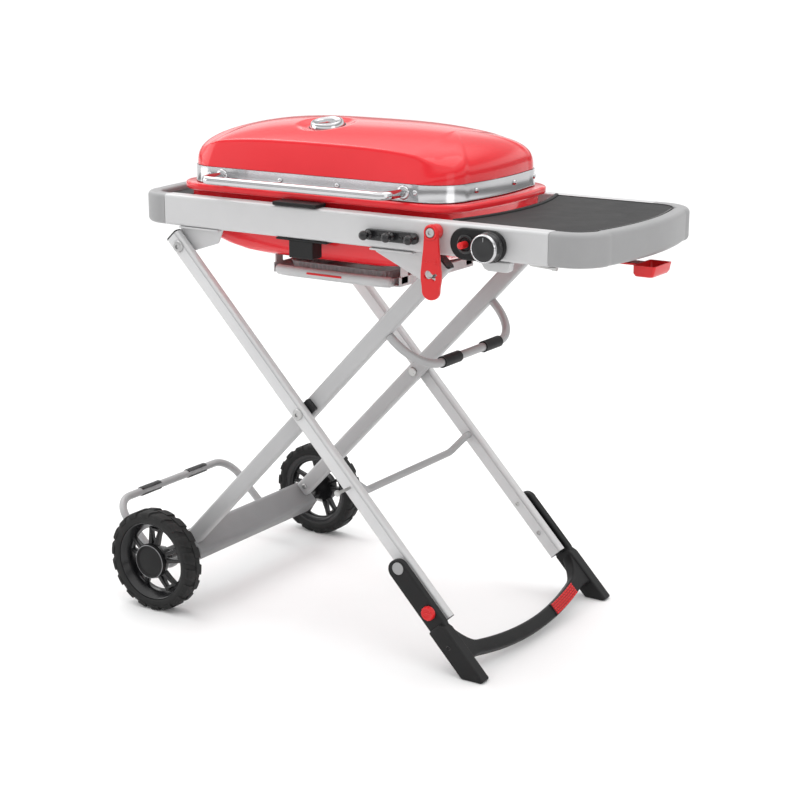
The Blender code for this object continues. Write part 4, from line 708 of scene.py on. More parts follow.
def band():
    low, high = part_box("lid_band")
    z0, z1 = low.z, high.z
    bm = bmesh.new()
    out, lip = 0.0006, 0.0016
    lid_ring(bm, ((out, 0.0, z1), (out, 0.0, z0 + 0.0040), (lip, 0.0010, z0 + 0.0022), (lip, 0.0010, z0),
                  (-0.0030, -0.0030, z0), (-0.0030, -0.0030, z1)))
    piece("lid_band_ring", bm, "band", "lid", ["lid_band"], smooth=50, bevel=0.0004, segments=2)
    bm = bmesh.new()
    z = 0.8465
    for side in (-1, 1):
        for x in (-0.229, -0.066, 0.060, 0.2245):
            screw_head(bm, at(x, side * (LID_HALF_Y + out), z), Y * side, *SCREW)
    for sign in (-1, 1):
        for y in (-0.090, 0.0375, 0.130):
            x = LID_HALF_X + out - LID_BULGE * (y / LID_HALF_Y) ** 2
            normal = Vector((sign, 2 * LID_BULGE * y / LID_HALF_Y**2, 0)).normalized()
            screw_head(bm, at(sign * x, y, z), normal, *SCREW)
    piece("band_screws", bm, "chrome", "lid", smooth=60)
    # the lining that closes the gap behind the band
    bm = bmesh.new()
    lid_ring(bm, ((-0.0034, -0.0030, z1 - 0.001), (-0.0034, -0.0030, z0 + 0.0010), (-0.0060, -0.0060, z0 + 0.0010),
                  (-0.0060, -0.0060, z1 - 0.001)))
    piece("lid_skirt", bm, "enamel", "lid", smooth=50)


def lid_handle():
    low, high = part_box("lid_handle")
    z = (low.z + high.z) / 2
    radius = (high.z - low.z) / 2
    bar_y = low.y + radius
    half = (high.x - low.x) / 2 - radius
    wall = -(LID_HALF_Y + 0.0008)
    points = [at(-half, wall, z), at(-half, bar_y, z), at(half, bar_y, z), at(half, wall, z)]
    bm = bmesh.new()
    pipe(bm, round_path(points, (0.020, 0.020), 12), circle(radius, 28))
    piece("handle_bar", bm, "chrome", "lid", ["lid_handle"], smooth=60)
    bm = bmesh.new()
    for x in (-half, half):
        turned(bm, [(0.0076, 0.0), (0.0125, 0.0), (0.0125, 0.0018), (0.0105, 0.0036), (0.0076, 0.0040)],
               at(x, wall, z), -Y, 32)
    piece("handle_flanges", bm, "chrome", "lid", smooth=50)


def gauge():
    bm = bmesh.new()
    dial = 0.0212
    profile = [(0, -0.0300), (0.0040, -0.0300), (0.0040, -0.0128), (0.0240, -0.0122), (0.0326, -0.0104),
               (0.0330, -0.0090), (0.0328, -0.0072), (0.0312, -0.0030), (0.0298, 0.0000), (0.0286, 0.0012),
               (0.0266, 0.0014), (0.0250, 0.0006), (0.0232, -0.0004), (dial + 0.0005, -0.0014), (dial, -0.0030),
               (0, -0.0030)]
    turned(bm, profile, GAUGE, GAUGE_AXIS, 72)
    piece("gauge_bezel", bm, "chrome", "lid", ["gauge_housing"], smooth=40)
    bm = bmesh.new()
    face_r = dial - 0.0004
    turned(bm, [(0, -0.0034), (face_r, -0.0034), (face_r, -0.0029), (0, -0.0029)], GAUGE, GAUGE_AXIS, 48)
    piece("gauge_face", bm, "dial", "lid")
    bm = bmesh.new()
    side = X
    other = GAUGE_AXIS.cross(side)
    for k in range(21):
        turn = radians(217 - 254 * k / 20)
        spoke = cos(turn) * side + sin(turn) * other
        cross = GAUGE_AXIS.cross(spoke)
        long = 0.0030 if k % 5 == 0 else 0.0016
        base = GAUGE - GAUGE_AXIS * 0.0029
        slab(bm, [(0.0196 - long, -0.0003), (0.0196, -0.0003), (0.0196, 0.0003), (0.0196 - long, 0.0003)],
             lambda u, v: base + u * spoke + v * cross, GAUGE_AXIS * 0.00012)
    piece("gauge_ticks", bm, "gloss_black", "lid")
    needle = JOINTS["gauge_needle_turn"]
    hub = Vector(needle["pos_m"])
    point = (side * -0.80 + other * -0.60).normalized()
    across = GAUGE_AXIS.cross(point)
    loop = [(-0.006, -0.0009), (0.002, -0.0012), (0.0155, -0.0002)]
    loop += [(u, -v) for u, v in reversed(loop)]
    bm = bmesh.new()
    slab(bm, loop, lambda u, v: hub + u * point + v * across, GAUGE_AXIS * 0.0006)
    turned(bm, [(0, 0.0), (0.0022, 0.0), (0.0022, 0.0011), (0.0014, 0.0014), (0, 0.0014)], hub, GAUGE_AXIS, 20)
    piece("gauge_pointer", bm, "red", "gauge_needle", ["gauge_needle"])


def lid_hinge():
    low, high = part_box("lid_hinge")
    bm = bmesh.new()
    block(bm, (low.x, low.y, low.z), (high.x, low.y + 0.0037, low.z + 0.0110))
    r = 0.0055
    centre = (LID_HINGE.y, LID_HINGE.z)
    loop = [(low.y + 0.0007, low.z + 0.002), (centre[0] + r, low.z + 0.002)] + arc(centre, r, 0, pi, 10)
    wide = X * 0.018
    x0, x1 = span_x("lid_hinge")
    for x in (x0 + 0.001, x1 - 0.019):
        slab(bm, loop, lambda u, v: at(x, u, v), wide)
    piece("hinge_leaf", bm, "steel", "table", ["lid_hinge"], bevel=0.0006)
    bm = bmesh.new()
    for x in (x0 + 0.020, x1 - 0.038):
        for loop in (rounded_rect((0.1766, 0.8345), (0.1985, 0.8400), 0.0020, 3),
                     rounded_rect((0.1766, 0.8345), (0.1800, 0.8560), 0.0015, 3)):
            slab(bm, loop, lambda u, v: at(x, u, v), wide)
    piece("hinge_straps", bm, "steel", "lid", bevel=0.0006)


# ---- on the rails
def saddles():
    for label, side in SIDES:
        near, far = span_out("saddle_clamp_" + label, side)
        bm = bmesh.new()
        top = RIM_HIGH.z - 0.0138
        block(bm, at(-0.0560, side * near, RAIL_Z[1] + 0.0003), at(0.0400, side * far, top))
        piece("saddle_top_" + label, bm, "black", "table", ["saddle_clamp_" + label], bevel=0.0018, segments=4)
        bm = bmesh.new()
        block(bm, at(-0.0510, side * near, 0.7455), at(0.0610, side * (far - 0.003), RAIL_Z[0] - 0.0003))
        piece("saddle_flange_" + label, bm, "black", "table", bevel=0.0012)
        bm = bmesh.new()
        block(bm, at(-0.0220, side * near, 0.7145), at(0.0300, side * (far - 0.003), 0.7458))
        piece("saddle_block_" + label, bm, "black", "table", bevel=0.0016, segments=4)
        bm = bmesh.new()
        block(bm, at(-0.0300, side * (near - 0.0005), 0.7420), at(0.0300, side * (RAIL_DEEP - 0.0007), 0.8130))
        piece("saddle_wall_" + label, bm, "black", "table", bevel=0.0010)


PEG_INSET, PEG_SPACING = 0.0095, 0.0460


def hook_rack():
    low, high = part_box("hook_rack")
    x0, x1 = span_x("hook_rack")
    face = -high.y
    z, half = (low.z + high.z) / 2, (high.z - low.z) / 2
    bm = bmesh.new()
    slab(bm, rounded_rect((x0, z - half), (x1, z + half), half - 0.0004, 10),
         lambda u, v: at(u, -face, v), Y * -0.0085)
    piece("hook_bar", bm, "gloss_black", "table", ["hook_rack"], bevel=0.0030, segments=5)
    bm = bmesh.new()
    ball = 0.0086
    for n in range(3):
        profile = [(0, 0.002), (0.0090, 0.002), (0.0080, 0.0095), (0.0056, 0.0115), (0.0050, 0.0150)]
        profile += [(ball * sin(t), 0.0222 - ball * cos(t)) for t in [pi * k / 12 for k in range(3, 12)]]
        profile += [(0, 0.0222 + ball)]
        turned(bm, profile, at(x0 + PEG_INSET + PEG_SPACING * n, -face, z), -Y, 32)
    piece("hook_pegs", bm, "gloss_black", "table", smooth=60)
    bm = bmesh.new()
    for n in (0.5, 1.5):
        screw_head(bm, at(x0 + PEG_INSET + PEG_SPACING * n, -face - 0.0085, z), -Y, 0.0036)
    piece("hook_screws", bm, "gloss_black", "table", smooth=60)


def controls():
    low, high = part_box("control_bezel")
    face, radius = -high.y, (high.z - low.z) / 2
    z = (low.z + high.z) / 2
    knob_x = high.x - PIVOT.x - radius
    left_x = low.x - PIVOT.x + radius
    button_low, button_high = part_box("igniter_button")
    igniter_x = (button_low.x + button_high.x) / 2 - PIVOT.x
    tip = -button_low.y
    loop = arc((knob_x, z), radius, -pi / 2, pi / 2, 24) + arc((left_x, z), radius, pi / 2, 3 * pi / 2, 24)
    bm = bmesh.new()
    slab(bm, loop, lambda u, v: at(u, -face, v), Y * -0.0092)
    piece("bezel_plate", bm, "black", "table", ["control_bezel"], bevel=0.0042, segments=6)
    bm = bmesh.new()
    turned(bm, [(0.0072, 0.0090), (0.0168, 0.0090), (0.0166, 0.0108), (0.0150, 0.0122), (0.0128, 0.0124),
                (0.0112, 0.0112), (0.0098, 0.0060), (0.0072, 0.0056)], at(igniter_x, -face, z), -Y, 48)
    turned(bm, [(0.0060, 0.0088), (0.0250, 0.0088), (0.0248, 0.0092), (0.0240, 0.0094), (0.0060, 0.0094)],
           at(knob_x, -face, z), -Y, 56)
    piece("bezel_bosses", bm, "gloss_black", "table", smooth=40)
    bm = bmesh.new()
    turned(bm, [(0, 0.2040), (0.0061, 0.2040), (0.0061, tip - 0.0034), (0.0057, tip - 0.0012), (0.0046, tip - 0.0003),
                (0, tip)], at(igniter_x, 0, z), -Y, 32)
    piece("igniter_cap", bm, "red", "igniter_button", ["igniter_button"], smooth=40)
    knob_low, knob_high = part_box("control_knob")
    front, back = -knob_low.y, -knob_high.y
    skirt = [(0, 0.2333), (0.0052, 0.2333), (0.0052, back), (0.0262, back), (0.0266, back + 0.0012),
             (0.0262, back + 0.0034), (0.0248, back + 0.0046), (0.0243, back + 0.0060), (0.0243, front - 0.0058),
             (0.0232, front - 0.0052), (0.0212, front - 0.0020), (0.0200, front - 0.0016), (0.0120, front - 0.0024),
             (0, front - 0.0026)]
    bm = bmesh.new()
    turned(bm, skirt, at(knob_x, 0, z), -Y, 72)
    piece("knob_body", bm, "gloss_black", "control_knob", ["control_knob"], smooth=35)
    bm = bmesh.new()
    turned(bm, [(0.0226, front - 0.0060), (0.0246, front - 0.0060), (0.0247, front - 0.0036), (0.0236, front - 0.0008),
                (0.0224, front), (0.0212, front - 0.0010), (0.0210, front - 0.0024)], at(knob_x, 0, z), -Y, 72)
    piece("knob_ring", bm, "chrome", "control_knob", smooth=50)
    bm = bmesh.new()
    slab(bm, [(-0.0006, 0.0120), (0.0006, 0.0120), (0.0006, 0.0190), (-0.0006, 0.0190)],
         lambda u, v: at(knob_x + u, -front + 0.0020, z + v), Y * -0.0006)
    piece("knob_mark", bm, "dial", "control_knob")
    return knob_x, igniter_x, z


def lever():
    swing = Vector(JOINTS["release_lever_swing"]["pos_m"])
    centre_x, centre_z = swing.x - PIVOT.x, swing.z
    back, front = 0.2290, 0.2352
    right = [(0.0140, -0.010), (0.0155, -0.030), (0.0185, -0.055), (0.0202, -0.070), (0.0202, -0.082),
             (0.0180, -0.094), (0.0175, -0.102)]
    tip = arc((0, -0.1020), 0.0150, 0, -pi, 14)
    tip = [(u * 0.0175 / 0.0150, v) for u, v in tip]
    head = arc((0, 0), 0.0140, pi, 0, 14)
    loop = right + tip + [(-u, v) for u, v in reversed(right)] + head
    bm = bmesh.new()
    slab(bm, loop, lambda u, v: at(centre_x + u, -back, centre_z + v), Y * (back - front))
    arm = piece("lever_arm", bm, "red", "release_lever", ["release_lever"], bevel=0.0012, segments=3)
    bm = bmesh.new()
    hole = arc((-0.0060, -0.0735), 0.0075, pi * 0.30, pi * 1.75, 14)
    hole += arc((0.0060, -0.0790), 0.0040, -pi / 2, pi / 4, 6)
    hole += [(0.0130, -0.0720), (0.0110, -0.0700), (0.0030, -0.0725)]
    slab(bm, hole, lambda u, v: at(centre_x + u, -0.2200, centre_z + v), Y * -0.025)
    cut(arm, bm)
    bm = bmesh.new()
    seat = at(centre_x, -(RAIL_FACE + 0.0006), centre_z)
    for profile in ([(0.0050, 0.0), (0.0122, 0.0), (0.0128, 0.0010), (0.0128, 0.0165), (0.0050, 0.0165)],
                    [(0.0095, 0.0212), (0.0128, 0.0212), (0.0130, 0.0226), (0.0120, 0.0238), (0.0095, 0.0238)]):
        turned(bm, profile, seat, -Y, 40)
    piece("lever_hub", bm, "red", "release_lever", smooth=40)
    bm = bmesh.new()
    for u, v, wide, tall in ((-0.0085, -0.0480, 0.0060, 0.0012), (-0.0085, -0.0520, 0.0060, 0.0012),
                             (0.0, -0.0500, 0.0050, 0.0010), (0.0085, -0.0480, 0.0060, 0.0012),
                             (0.0085, -0.0520, 0.0060, 0.0012), (-0.0112, -0.0500, 0.0012, 0.0050),
                             (0.0112, -0.0500, 0.0012, 0.0050)):
        slab(bm, rounded_rect((u - wide / 2, v - tall / 2), (u + wide / 2, v + tall / 2), min(wide, tall) * 0.4, 2),
             lambda a, b: at(centre_x + a, -front + 0.0002, centre_z + b), Y * -0.0006)
    piece("lever_marks", bm, "red", "release_lever")
    bm = bmesh.new()
    turned(bm, [(0, -0.2136), (0.0044, -0.2136), (0.0044, -0.2360), (0.0088, -0.2360), (0.0088, -0.2370),
                (0.0076, -0.2386), (0.0036, -0.2386), (0.0032, -0.2366), (0, -0.2366)],
           at(centre_x, 0, centre_z), Y, 28)
    piece("lever_pivot_bolt", bm, "steel", "table", ["lever_bolt"], smooth=40)


def brackets():
    """Gussets under the rails: hinge plates, catch plates and the stop under the front rail."""
    top = RAIL_Z[0] - 0.0003
    hinge_x, hinge_z = TABLE_HINGE.x - PIVOT.x, TABLE_HINGE.z
    catch_x, catch_z = (PIVOT + INNER_S * REACH).x - PIVOT.x, TABLE_HINGE.z
    for label, side in SIDES:
        bm = bmesh.new()
        loop = [(hinge_x - 0.0100, top), (hinge_x + 0.0900, top), (hinge_x + 0.0780, hinge_z + 0.0100)]
        loop += arc((hinge_x, hinge_z), 0.0150, -pi * 0.35, -pi, 10)
        slab(bm, loop, lambda u, v: at(u, side * 0.1970, v), Y * (side * 0.0040))
        block(bm, at(hinge_x - 0.0060, side * 0.1975, top - 0.0034), at(hinge_x + 0.0860, side * 0.2120, top))
        piece("hinge_gusset_" + label, bm, "silver", "table", ["hinge_plate_" + label], bevel=0.0009)
        bm = bmesh.new()
        far = 0.2226
        turned(bm, [(0, 0.1960), (0.0048, 0.1960), (0.0048, far), (0.0112, far), (0.0114, far + 0.0012),
                    (0.0098, far + 0.0036), (0.0060, far + 0.0042), (0.0044, far + 0.0040), (0.0042, far + 0.0018),
                    (0, far + 0.0018)], at(hinge_x, 0, hinge_z), Y * side, 36)
        piece("hinge_stud_" + label, bm, "steel", "table", smooth=40)
        r = 0.0066
        bm = bmesh.new()
        loop = [(catch_x - 0.1220, top), (catch_x + 0.0120, top), (catch_x + 0.0120, catch_z + r)]
        loop += arc((catch_x, catch_z), r, pi / 2, 3 * pi / 2, 12)
        loop += [(catch_x + 0.0120, catch_z - r), (catch_x + 0.0100, catch_z - 0.0140),
                 (catch_x - 0.0140, catch_z - 0.0150), (catch_x - 0.1120, top - 0.0090)]
        slab(bm, loop, lambda u, v: at(u, side * 0.1965, v), Y * (side * 0.0035))
        piece("catch_gusset_" + label, bm, "silver", "table", ["catch_plate_" + label], bevel=0.0007)
        bm = bmesh.new()
        block(bm, at(catch_x - 0.1180, side * 0.1970, top - 0.0036), at(catch_x - 0.0290, side * 0.2145, top))
        piece("catch_flange_" + label, bm, "silver", "table", bevel=0.0014)
    low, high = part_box("rail_bracket")
    bm = bmesh.new()
    x0, x1 = span_x("rail_bracket")
    loop = [(x0, top), (x1, top), (x1 - 0.003, low.z + 0.003), (x1 - 0.008, low.z), (x0 + 0.018, low.z),
            (x0 + 0.010, low.z + 0.003)]
    slab(bm, loop, lambda u, v: at(u, low.y, v), Y * (high.y - low.y))
    piece("stop_bracket", bm, "silver", "table", ["rail_bracket"], bevel=0.0022, segments=4)


# ---- drip tray and fold grip
def tray():
    low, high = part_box("drip_tray")
    x0, x1 = span_x("drip_tray")
    y0, y1 = low.y + 0.0105, high.y
    z0, z1 = low.z, 0.6800
    bm = bmesh.new()
    wall = 0.0014
    rows = []
    for inset, z in ((0.003, z0), (0.0, z0 + 0.004), (0.0, z1 - 0.0005), (wall / 2, z1), (wall, z1 - 0.0005),
                     (wall, z0 + 0.0045), (0.004, z0 + 0.0014)):
        loop = rounded_rect((x0 + inset, y0 + inset), (x1 - inset, y1 - inset), 0.0150 - inset, 8)
        rows.append([at(u, v, z) for u, v in loop])
    loft(bm, rows)
    piece("tray_pan", bm, "silver", "drip_tray", ["drip_tray"], smooth=50)
    bm = bmesh.new()
    lip = []
    for k in range(25):
        t = k / 24
        x = x0 + 0.004 + (x1 - x0 - 0.008) * t
        pull = 0.006 * (abs(2 * t - 1)) ** 8
        lip.append(at(x, y0 - 0.0015 + pull, z1 - 0.0062))
    pipe(bm, lip, [(u, v * 1.12) for u, v in circle(0.0088, 28)], start_side=Y, taper=0.005)
    piece("tray_lip", bm, "silver", "drip_tray", smooth=60)
    bm = bmesh.new()
    block(bm, at(-0.0280, y0 - 0.0116, z1 - 0.0070), at(0.0500, y0 - 0.0070, z1 - 0.0030))
    piece("tray_mark", bm, "red", "drip_tray", bevel=0.0009)
    bm = bmesh.new()
    flo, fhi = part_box("foil_pan")
    count = 200
    foil_x = span_x("foil_pan")
    base = rounded_rect((foil_x[0], flo.y), (foil_x[1], fhi.y), 0.020, 6)
    dense = resample([Vector((u, v, 0)) for u, v in base], count)
    rows = []
    for inset, z, flute in ((0.010, flo.z, 0.0), (0.008, flo.z + 0.001, 0.0022), (0.0030, fhi.z - 0.0035, 0.0028),
                            (0.0024, fhi.z - 0.0022, 0.0), (0.0006, fhi.z - 0.0010, 0.0), (0.0, fhi.z - 0.0004, 0.0),
                            (0.0010, fhi.z, 0.0), (0.0036, fhi.z - 0.0010, 0.0), (0.0042, fhi.z - 0.0030, 0.0028),
                            (0.0090, flo.z + 0.002, 0.0022), (0.0110, flo.z + 0.001, 0.0)):
        row = []
        for i, p in enumerate(dense):
            ahead, behind = dense[(i + 1) % count], dense[i - 1]
            tangent = (ahead - behind).normalized()
            inward = Vector((-tangent.y, tangent.x, 0))
            shift = inset + flute * (1 if i % 2 else -1) * 0.5
            q = p + inward * shift
            row.append(at(q.x, q.y, z))
        rows.append(row)
    loft(bm, rows)
    piece("foil_liner", bm, "foil", "drip_tray", ["foil_pan"], smooth=30)
    for name, sign in (("tray_hanger_left", -1), ("tray_hanger_right", 1)):
        low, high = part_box(name)
        bm = bmesh.new()
        edge = (low.x if sign < 0 else high.x) - PIVOT.x
        slab(bm, [(edge, low.z), (edge - sign * 0.0140, low.z), (edge - sign * 0.0140, low.z + 0.0028),
                  (edge - sign * 0.0030, low.z + 0.0030), (edge - sign * 0.0028, 0.6835), (edge, 0.6835)],
             lambda u, v: at(u, low.y, v), Y * (high.y - low.y))
        piece(name + "_rail", bm, "silver", "table", [name], bevel=0.0008)
        bm = bmesh.new()
        for y in (-0.1250, 0.1030):
            block(bm, at(edge, y, 0.6700), at(edge - sign * 0.0028, y + 0.0220, 0.7075))
        piece(name + "_posts", bm, "silver", "table", bevel=0.0006)


def resample(loop, count):
    """Spread count points evenly round a closed loop."""
    closed = loop + [loop[0]]
    lengths = [(b - a).length for a, b in zip(closed, closed[1:])]
    total = sum(lengths)
    points = []
    for k in range(count):
        want = total * k / count
        i = 0
        while want > lengths[i]:
            want -= lengths[i]
            i += 1
        points.append(closed[i].lerp(closed[i + 1], want / lengths[i]))
    return points


def fold_grip():
    low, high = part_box("fold_grip")
    x1, half, z0 = high.x - PIVOT.x + 0.004, high.y + 0.002, low.z
    z1 = z0 + 0.0200
    x0 = x1 - 0.0420
    wall = 0.0024
    bm = bmesh.new()
    rows = []
    for inset, z, front in ((0.006, z0, 0.010), (0.003, z0 + 0.001, 0.006), (0.0, z0 + 0.006, 0.003), (0.0, z1, 0.0),
                            (wall, z1, wall), (wall, z0 + 0.006, 0.003 + wall), (0.006, z0 + wall, 0.010 + wall)):
        loop = rounded_rect((x0 + min(inset, wall), -half + inset), (x1 - front, half - inset), 0.0045, 6)
        rows.append([at(u, v, z) for u, v in loop])
    loft(bm, rows)
    piece("grip_scoop", bm, "red", "fold_grip", ["fold_grip"], smooth=50)
    bm = bmesh.new()
    block(bm, at(x0 - 0.0700, -0.0150, z1 - 0.0040), at(x0 + 0.0010, 0.0150, z1))
    block(bm, at(x0 - 0.0700, -0.0150, z1 - 0.0040), at(x0 - 0.0620, 0.0150, z1 + 0.0400))
    piece("grip_strap", bm, "red", "fold_grip", bevel=0.0010)


def gas_parts():
    knob = JOINTS["knob_turn"]["pos_m"]
    x, z = knob[0] - PIVOT.x, knob[2]
    bm = bmesh.new()
    turned(bm, [(0.0053, 0.0), (0.0110, 0.0), (0.0110, 0.0160), (0.0053, 0.0160)], at(x, -0.1860, z), Y, 6)
    block(bm, at(x - 0.0125, -0.1705, z - 0.0110), at(x + 0.0125, -0.1500, z + 0.0110))
    turned(bm, [(0, 0.005), (0.0050, 0.005), (0.0050, 0.0450), (0, 0.0450)], at(x, -0.1600, z), -X, 24)
    piece("valve_body", bm, "brass", "table", ["gas_valve"], bevel=0.0008)
    stem_low, stem_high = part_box("knob_stem")
    bm = bmesh.new()
    turned(bm, [(0, -stem_high.y), (0.0044, -stem_high.y), (0.0049, -stem_high.y + 0.0006),
                (0.0049, -stem_low.y - 0.0006), (0.0044, -stem_low.y), (0, -stem_low.y)], at(x, 0, z), -Y, 28)
    piece("stem_rod", bm, "steel", "knob_stem", ["knob_stem"], smooth=40)
    # a short inlet elbow and its bolt show under the shelf
    bm = bmesh.new()
    pipe(bm, round_path([at(0.4420, -0.160, 0.7600), at(0.4420, -0.160, 0.7410), at(0.4900, -0.160, 0.7385)],
                        (0.008,), 6), circle(0.0034, 16), taper=0.001)
    turned(bm, [(0, 0.0), (0.0054, 0.0), (0.0054, 0.0080), (0, 0.0080)], at(0.4880, -0.160, 0.7386), X, 6)
    piece("gas_inlet", bm, "steel", "table", smooth=35)


# ---- legs
LEG_HALF, LEG_RADIUS = 0.0160, 0.0058
INNER_LEG_Y, OUTER_LEG_Y = (0.1730, 0.1950), (0.2036, 0.2220)
BRACE_S = 0.1670


def leg_section(half_y, groove):
    """A rounded rectangular tube section; groove gives the sides (v = -1 or 1) that carry a shallow groove."""
    width, depth, at_u = 0.0010, 0.0014, 0.0096
    right = arc((LEG_HALF - LEG_RADIUS, half_y - LEG_RADIUS), LEG_RADIUS, 0, pi / 2, 5)
    loop = list(right)
    if 1 in groove:
        loop += [(at_u + width, half_y), (at_u, half_y - depth), (at_u - width, half_y)]
    loop += [(-u, v) for u, v in reversed(right)]
    loop += [(-u, -v) for u, v in right]
    if -1 in groove:
        loop += [(at_u - width, -half_y), (at_u, -half_y + depth), (at_u + width, -half_y)]
    loop += [(u, -v) for u, v in reversed(right)]
    return loop


def legs():
    wall = 0.0022
    for label, side in SIDES:
        for kind, place, (near, far), (start, stop) in (("outer", outer, OUTER_LEG_Y, (-0.4200, 0.4635)),
                                                        ("inner", inner, INNER_LEG_Y, (-0.4113, 0.4240))):
            name, body = kind + "_leg_" + label, kind + "_legs"
            mid, half_y = side * (near + far) / 2, (far - near) / 2
            section = leg_section(half_y, (-1, 1) if kind == "outer" else ())
            scale = (LEG_HALF - wall) / LEG_HALF
            inside = [(u * scale, v * (half_y - wall) / half_y) for u, v in section]
            rows = []
            for s, loop in ((start, section), (stop, section), (stop, inside), (start, inside)):
                rows.append([place(s, u, mid + v) for u, v in loop])
            bm = bmesh.new()
            loft(bm, rows, wrap=True)
            # the inner legs take the darker copy of the silver paint: painted shade
            piece(name + "_tube", bm, "silver" if kind == "outer" else "silver_painted_shade", body, [name], smooth=32)
            # dark end plugs, a little proud of the tube
            bm = bmesh.new()
            plug = rounded_rect((-LEG_HALF, -half_y), (LEG_HALF, half_y), LEG_RADIUS, 5)
            ends = ((start, -1), (stop, 1)) if kind == "outer" else ((stop, 1),)
            for s, way in ends:
                if kind == "outer" and way == 1:
                    levels = ((1.0, 0.0), (1.0, 0.0008), (0.96, 0.0012))
                else:
                    levels = ((1.0, 0.0), (1.02, 0.0006), (1.02, 0.0022), (0.95, 0.0032))
                rows = [[place(s + way * d, u * k, mid + v * k) for u, v in plug] for k, d in levels]
                loft(bm, rows)
            piece(name + "_plugs", bm, "gloss_black", body, smooth=40)
    bm = bmesh.new()
    # bolts on the legs' inner faces
    for _, side in SIDES:
        screw_head(bm, inner(-0.3985, 0.0, side * INNER_LEG_Y[0]), Y * -side, 0.0062)
    piece("inner_leg_screws", bm, "steel", "inner_legs", smooth=50)
    bm = bmesh.new()
    for _, side in SIDES:
        for s, h in ((BRACE_S, 0.0), (0.3380, -0.0035), (0.4095, -0.0035)):
            screw_head(bm, outer(s, h, side * OUTER_LEG_Y[0]), Y * -side, 0.0046)
    piece("outer_leg_screws", bm, "steel", "outer_legs", smooth=50)
    # the stub pins that drop into the catch plates
    bm = bmesh.new()
    for _, side in SIDES:
        turned(bm, [(0, 0.1945), (0.0060, 0.1945), (0.0060, 0.2012), (0.0052, 0.2020), (0, 0.2020)],
               inner(REACH, 0, 0), Y * side, 28)
    piece("catch_pins", bm, "steel", "inner_legs", smooth=40)


def pivots():
    for label, side in SIDES:
        near, far = span_out("pivot_bolt_" + label, side)
        bm = bmesh.new()
        turned(bm, [(0, near), (0.0080, near), (0.0096, near + 0.0014), (0.0096, near + 0.0032), (0.0060, 0.1728),
                    (0.0060, 0.2222), (0.0106, 0.2223), (0.0108, 0.2236), (0.0092, far - 0.0004), (0.0052, far),
                    (0.0040, far - 0.0004), (0.0038, far - 0.0026), (0, far - 0.0026)], inner(0, 0, 0), Y * side, 36)
        piece("pivot_screw_" + label, bm, "steel", "inner_legs", ["pivot_bolt_" + label], smooth=40)
        bm = bmesh.new()
        loop = rounded_rect((-0.0135, -0.0260), (0.0135, 0.0260), 0.0040, 4)
        slab(bm, [(u, v) for v, u in loop], lambda u, v: inner(u, v, side * 0.1953), Y * (side * 0.0080))
        piece("pivot_spacer_" + label, bm, "gloss_black", "inner_legs", bevel=0.0012)


def cross_brace():
    end_y, bend_y, bow = 0.2034, 0.1950, (0.1776, -0.026, 0.1500)
    points = [outer(BRACE_S, 0, -end_y), outer(BRACE_S, 0, -bend_y), outer(bow[0], bow[1], -bow[2]), outer(*bow),
              outer(BRACE_S, 0, bend_y), outer(BRACE_S, 0, end_y)]
    bm = bmesh.new()
    pipe(bm, round_path(points, (0.010, 0.030, 0.030, 0.010), 8), circle(0.0070, 24))
    # the brace takes the darker copy of the silver paint: painted shade
    piece("cross_brace", bm, "silver_painted_shade", "outer_legs", ["cross_tube"], smooth=60)
    bm = bmesh.new()
    y = 0.2223
    profile = [(0, y), (0.0026, y)]
    for k in range(1, 22):
        profile.append((0.0026 if k % 2 else 0.0030, y + 0.0016 * k))
    profile += [(0.0058, 0.2592), (0.0062, 0.2604), (0.0058, 0.2628), (0.0030, 0.2635), (0, 0.2635)]
    turned(bm, profile, outer(BRACE_S, 0, 0), -Y, 20)
    piece("brace_screw", bm, "steel", "outer_legs", ["cross_tube_screw"], smooth=40)


# ---- foot frame
def bar_s(y):
    return 0.5565 + (0.5290 - 0.5565) * (y / 0.2100) ** 2


def floor_s(h):
    return (PIVOT.z + h * INNER_S.x) / INNER_S.z


def foot_outline():
    """The foot itself from the side: its sole is level with the floor and its toe is cut square."""
    low, high, start, toe = -0.0214, 0.0160, 0.4650, 0.5929
    toe_h = (toe * INNER_S.z - PIVOT.z) / INNER_S.x
    return [(start, low), (floor_s(low), low), (toe, toe_h), (toe, high), (start + 0.0150, high),
            (start, high - 0.0060)]


def clamp_outline():
    """The round-ended plate that bolts the foot to the leg's outer face."""
    top, mid, half, stop = 0.3410, -0.0024, 0.0190, 0.4750
    return arc((top, mid), half, pi / 2, 3 * pi / 2, 20) + [(stop, mid - half), (stop, 0.0136), (0.4660, mid + half)]


def foot_bar():
    """The bowed bar; its ends widen into the feet."""
    bm = bmesh.new()
    rows = []
    count, reach, root_start = 64, 0.2300, 0.1850
    for k in range(count + 1):
        y = reach * (2 * k / count - 1)
        root = max(0.0, (abs(y) - root_start) / (reach - root_start)) ** 2
        section = rounded_rect((-0.0133 - 0.0350 * root, -0.0118), (0.0133 + 0.0100 * root, 0.0124), 0.0062, 5)
        centre = outer(bar_s(y), 0, y)
        rows.append([centre + u * OUTER_S + v * OUTER_H for u, v in section])
    loft(bm, rows)
    piece("foot_bar", bm, "black", "outer_legs", smooth=50)


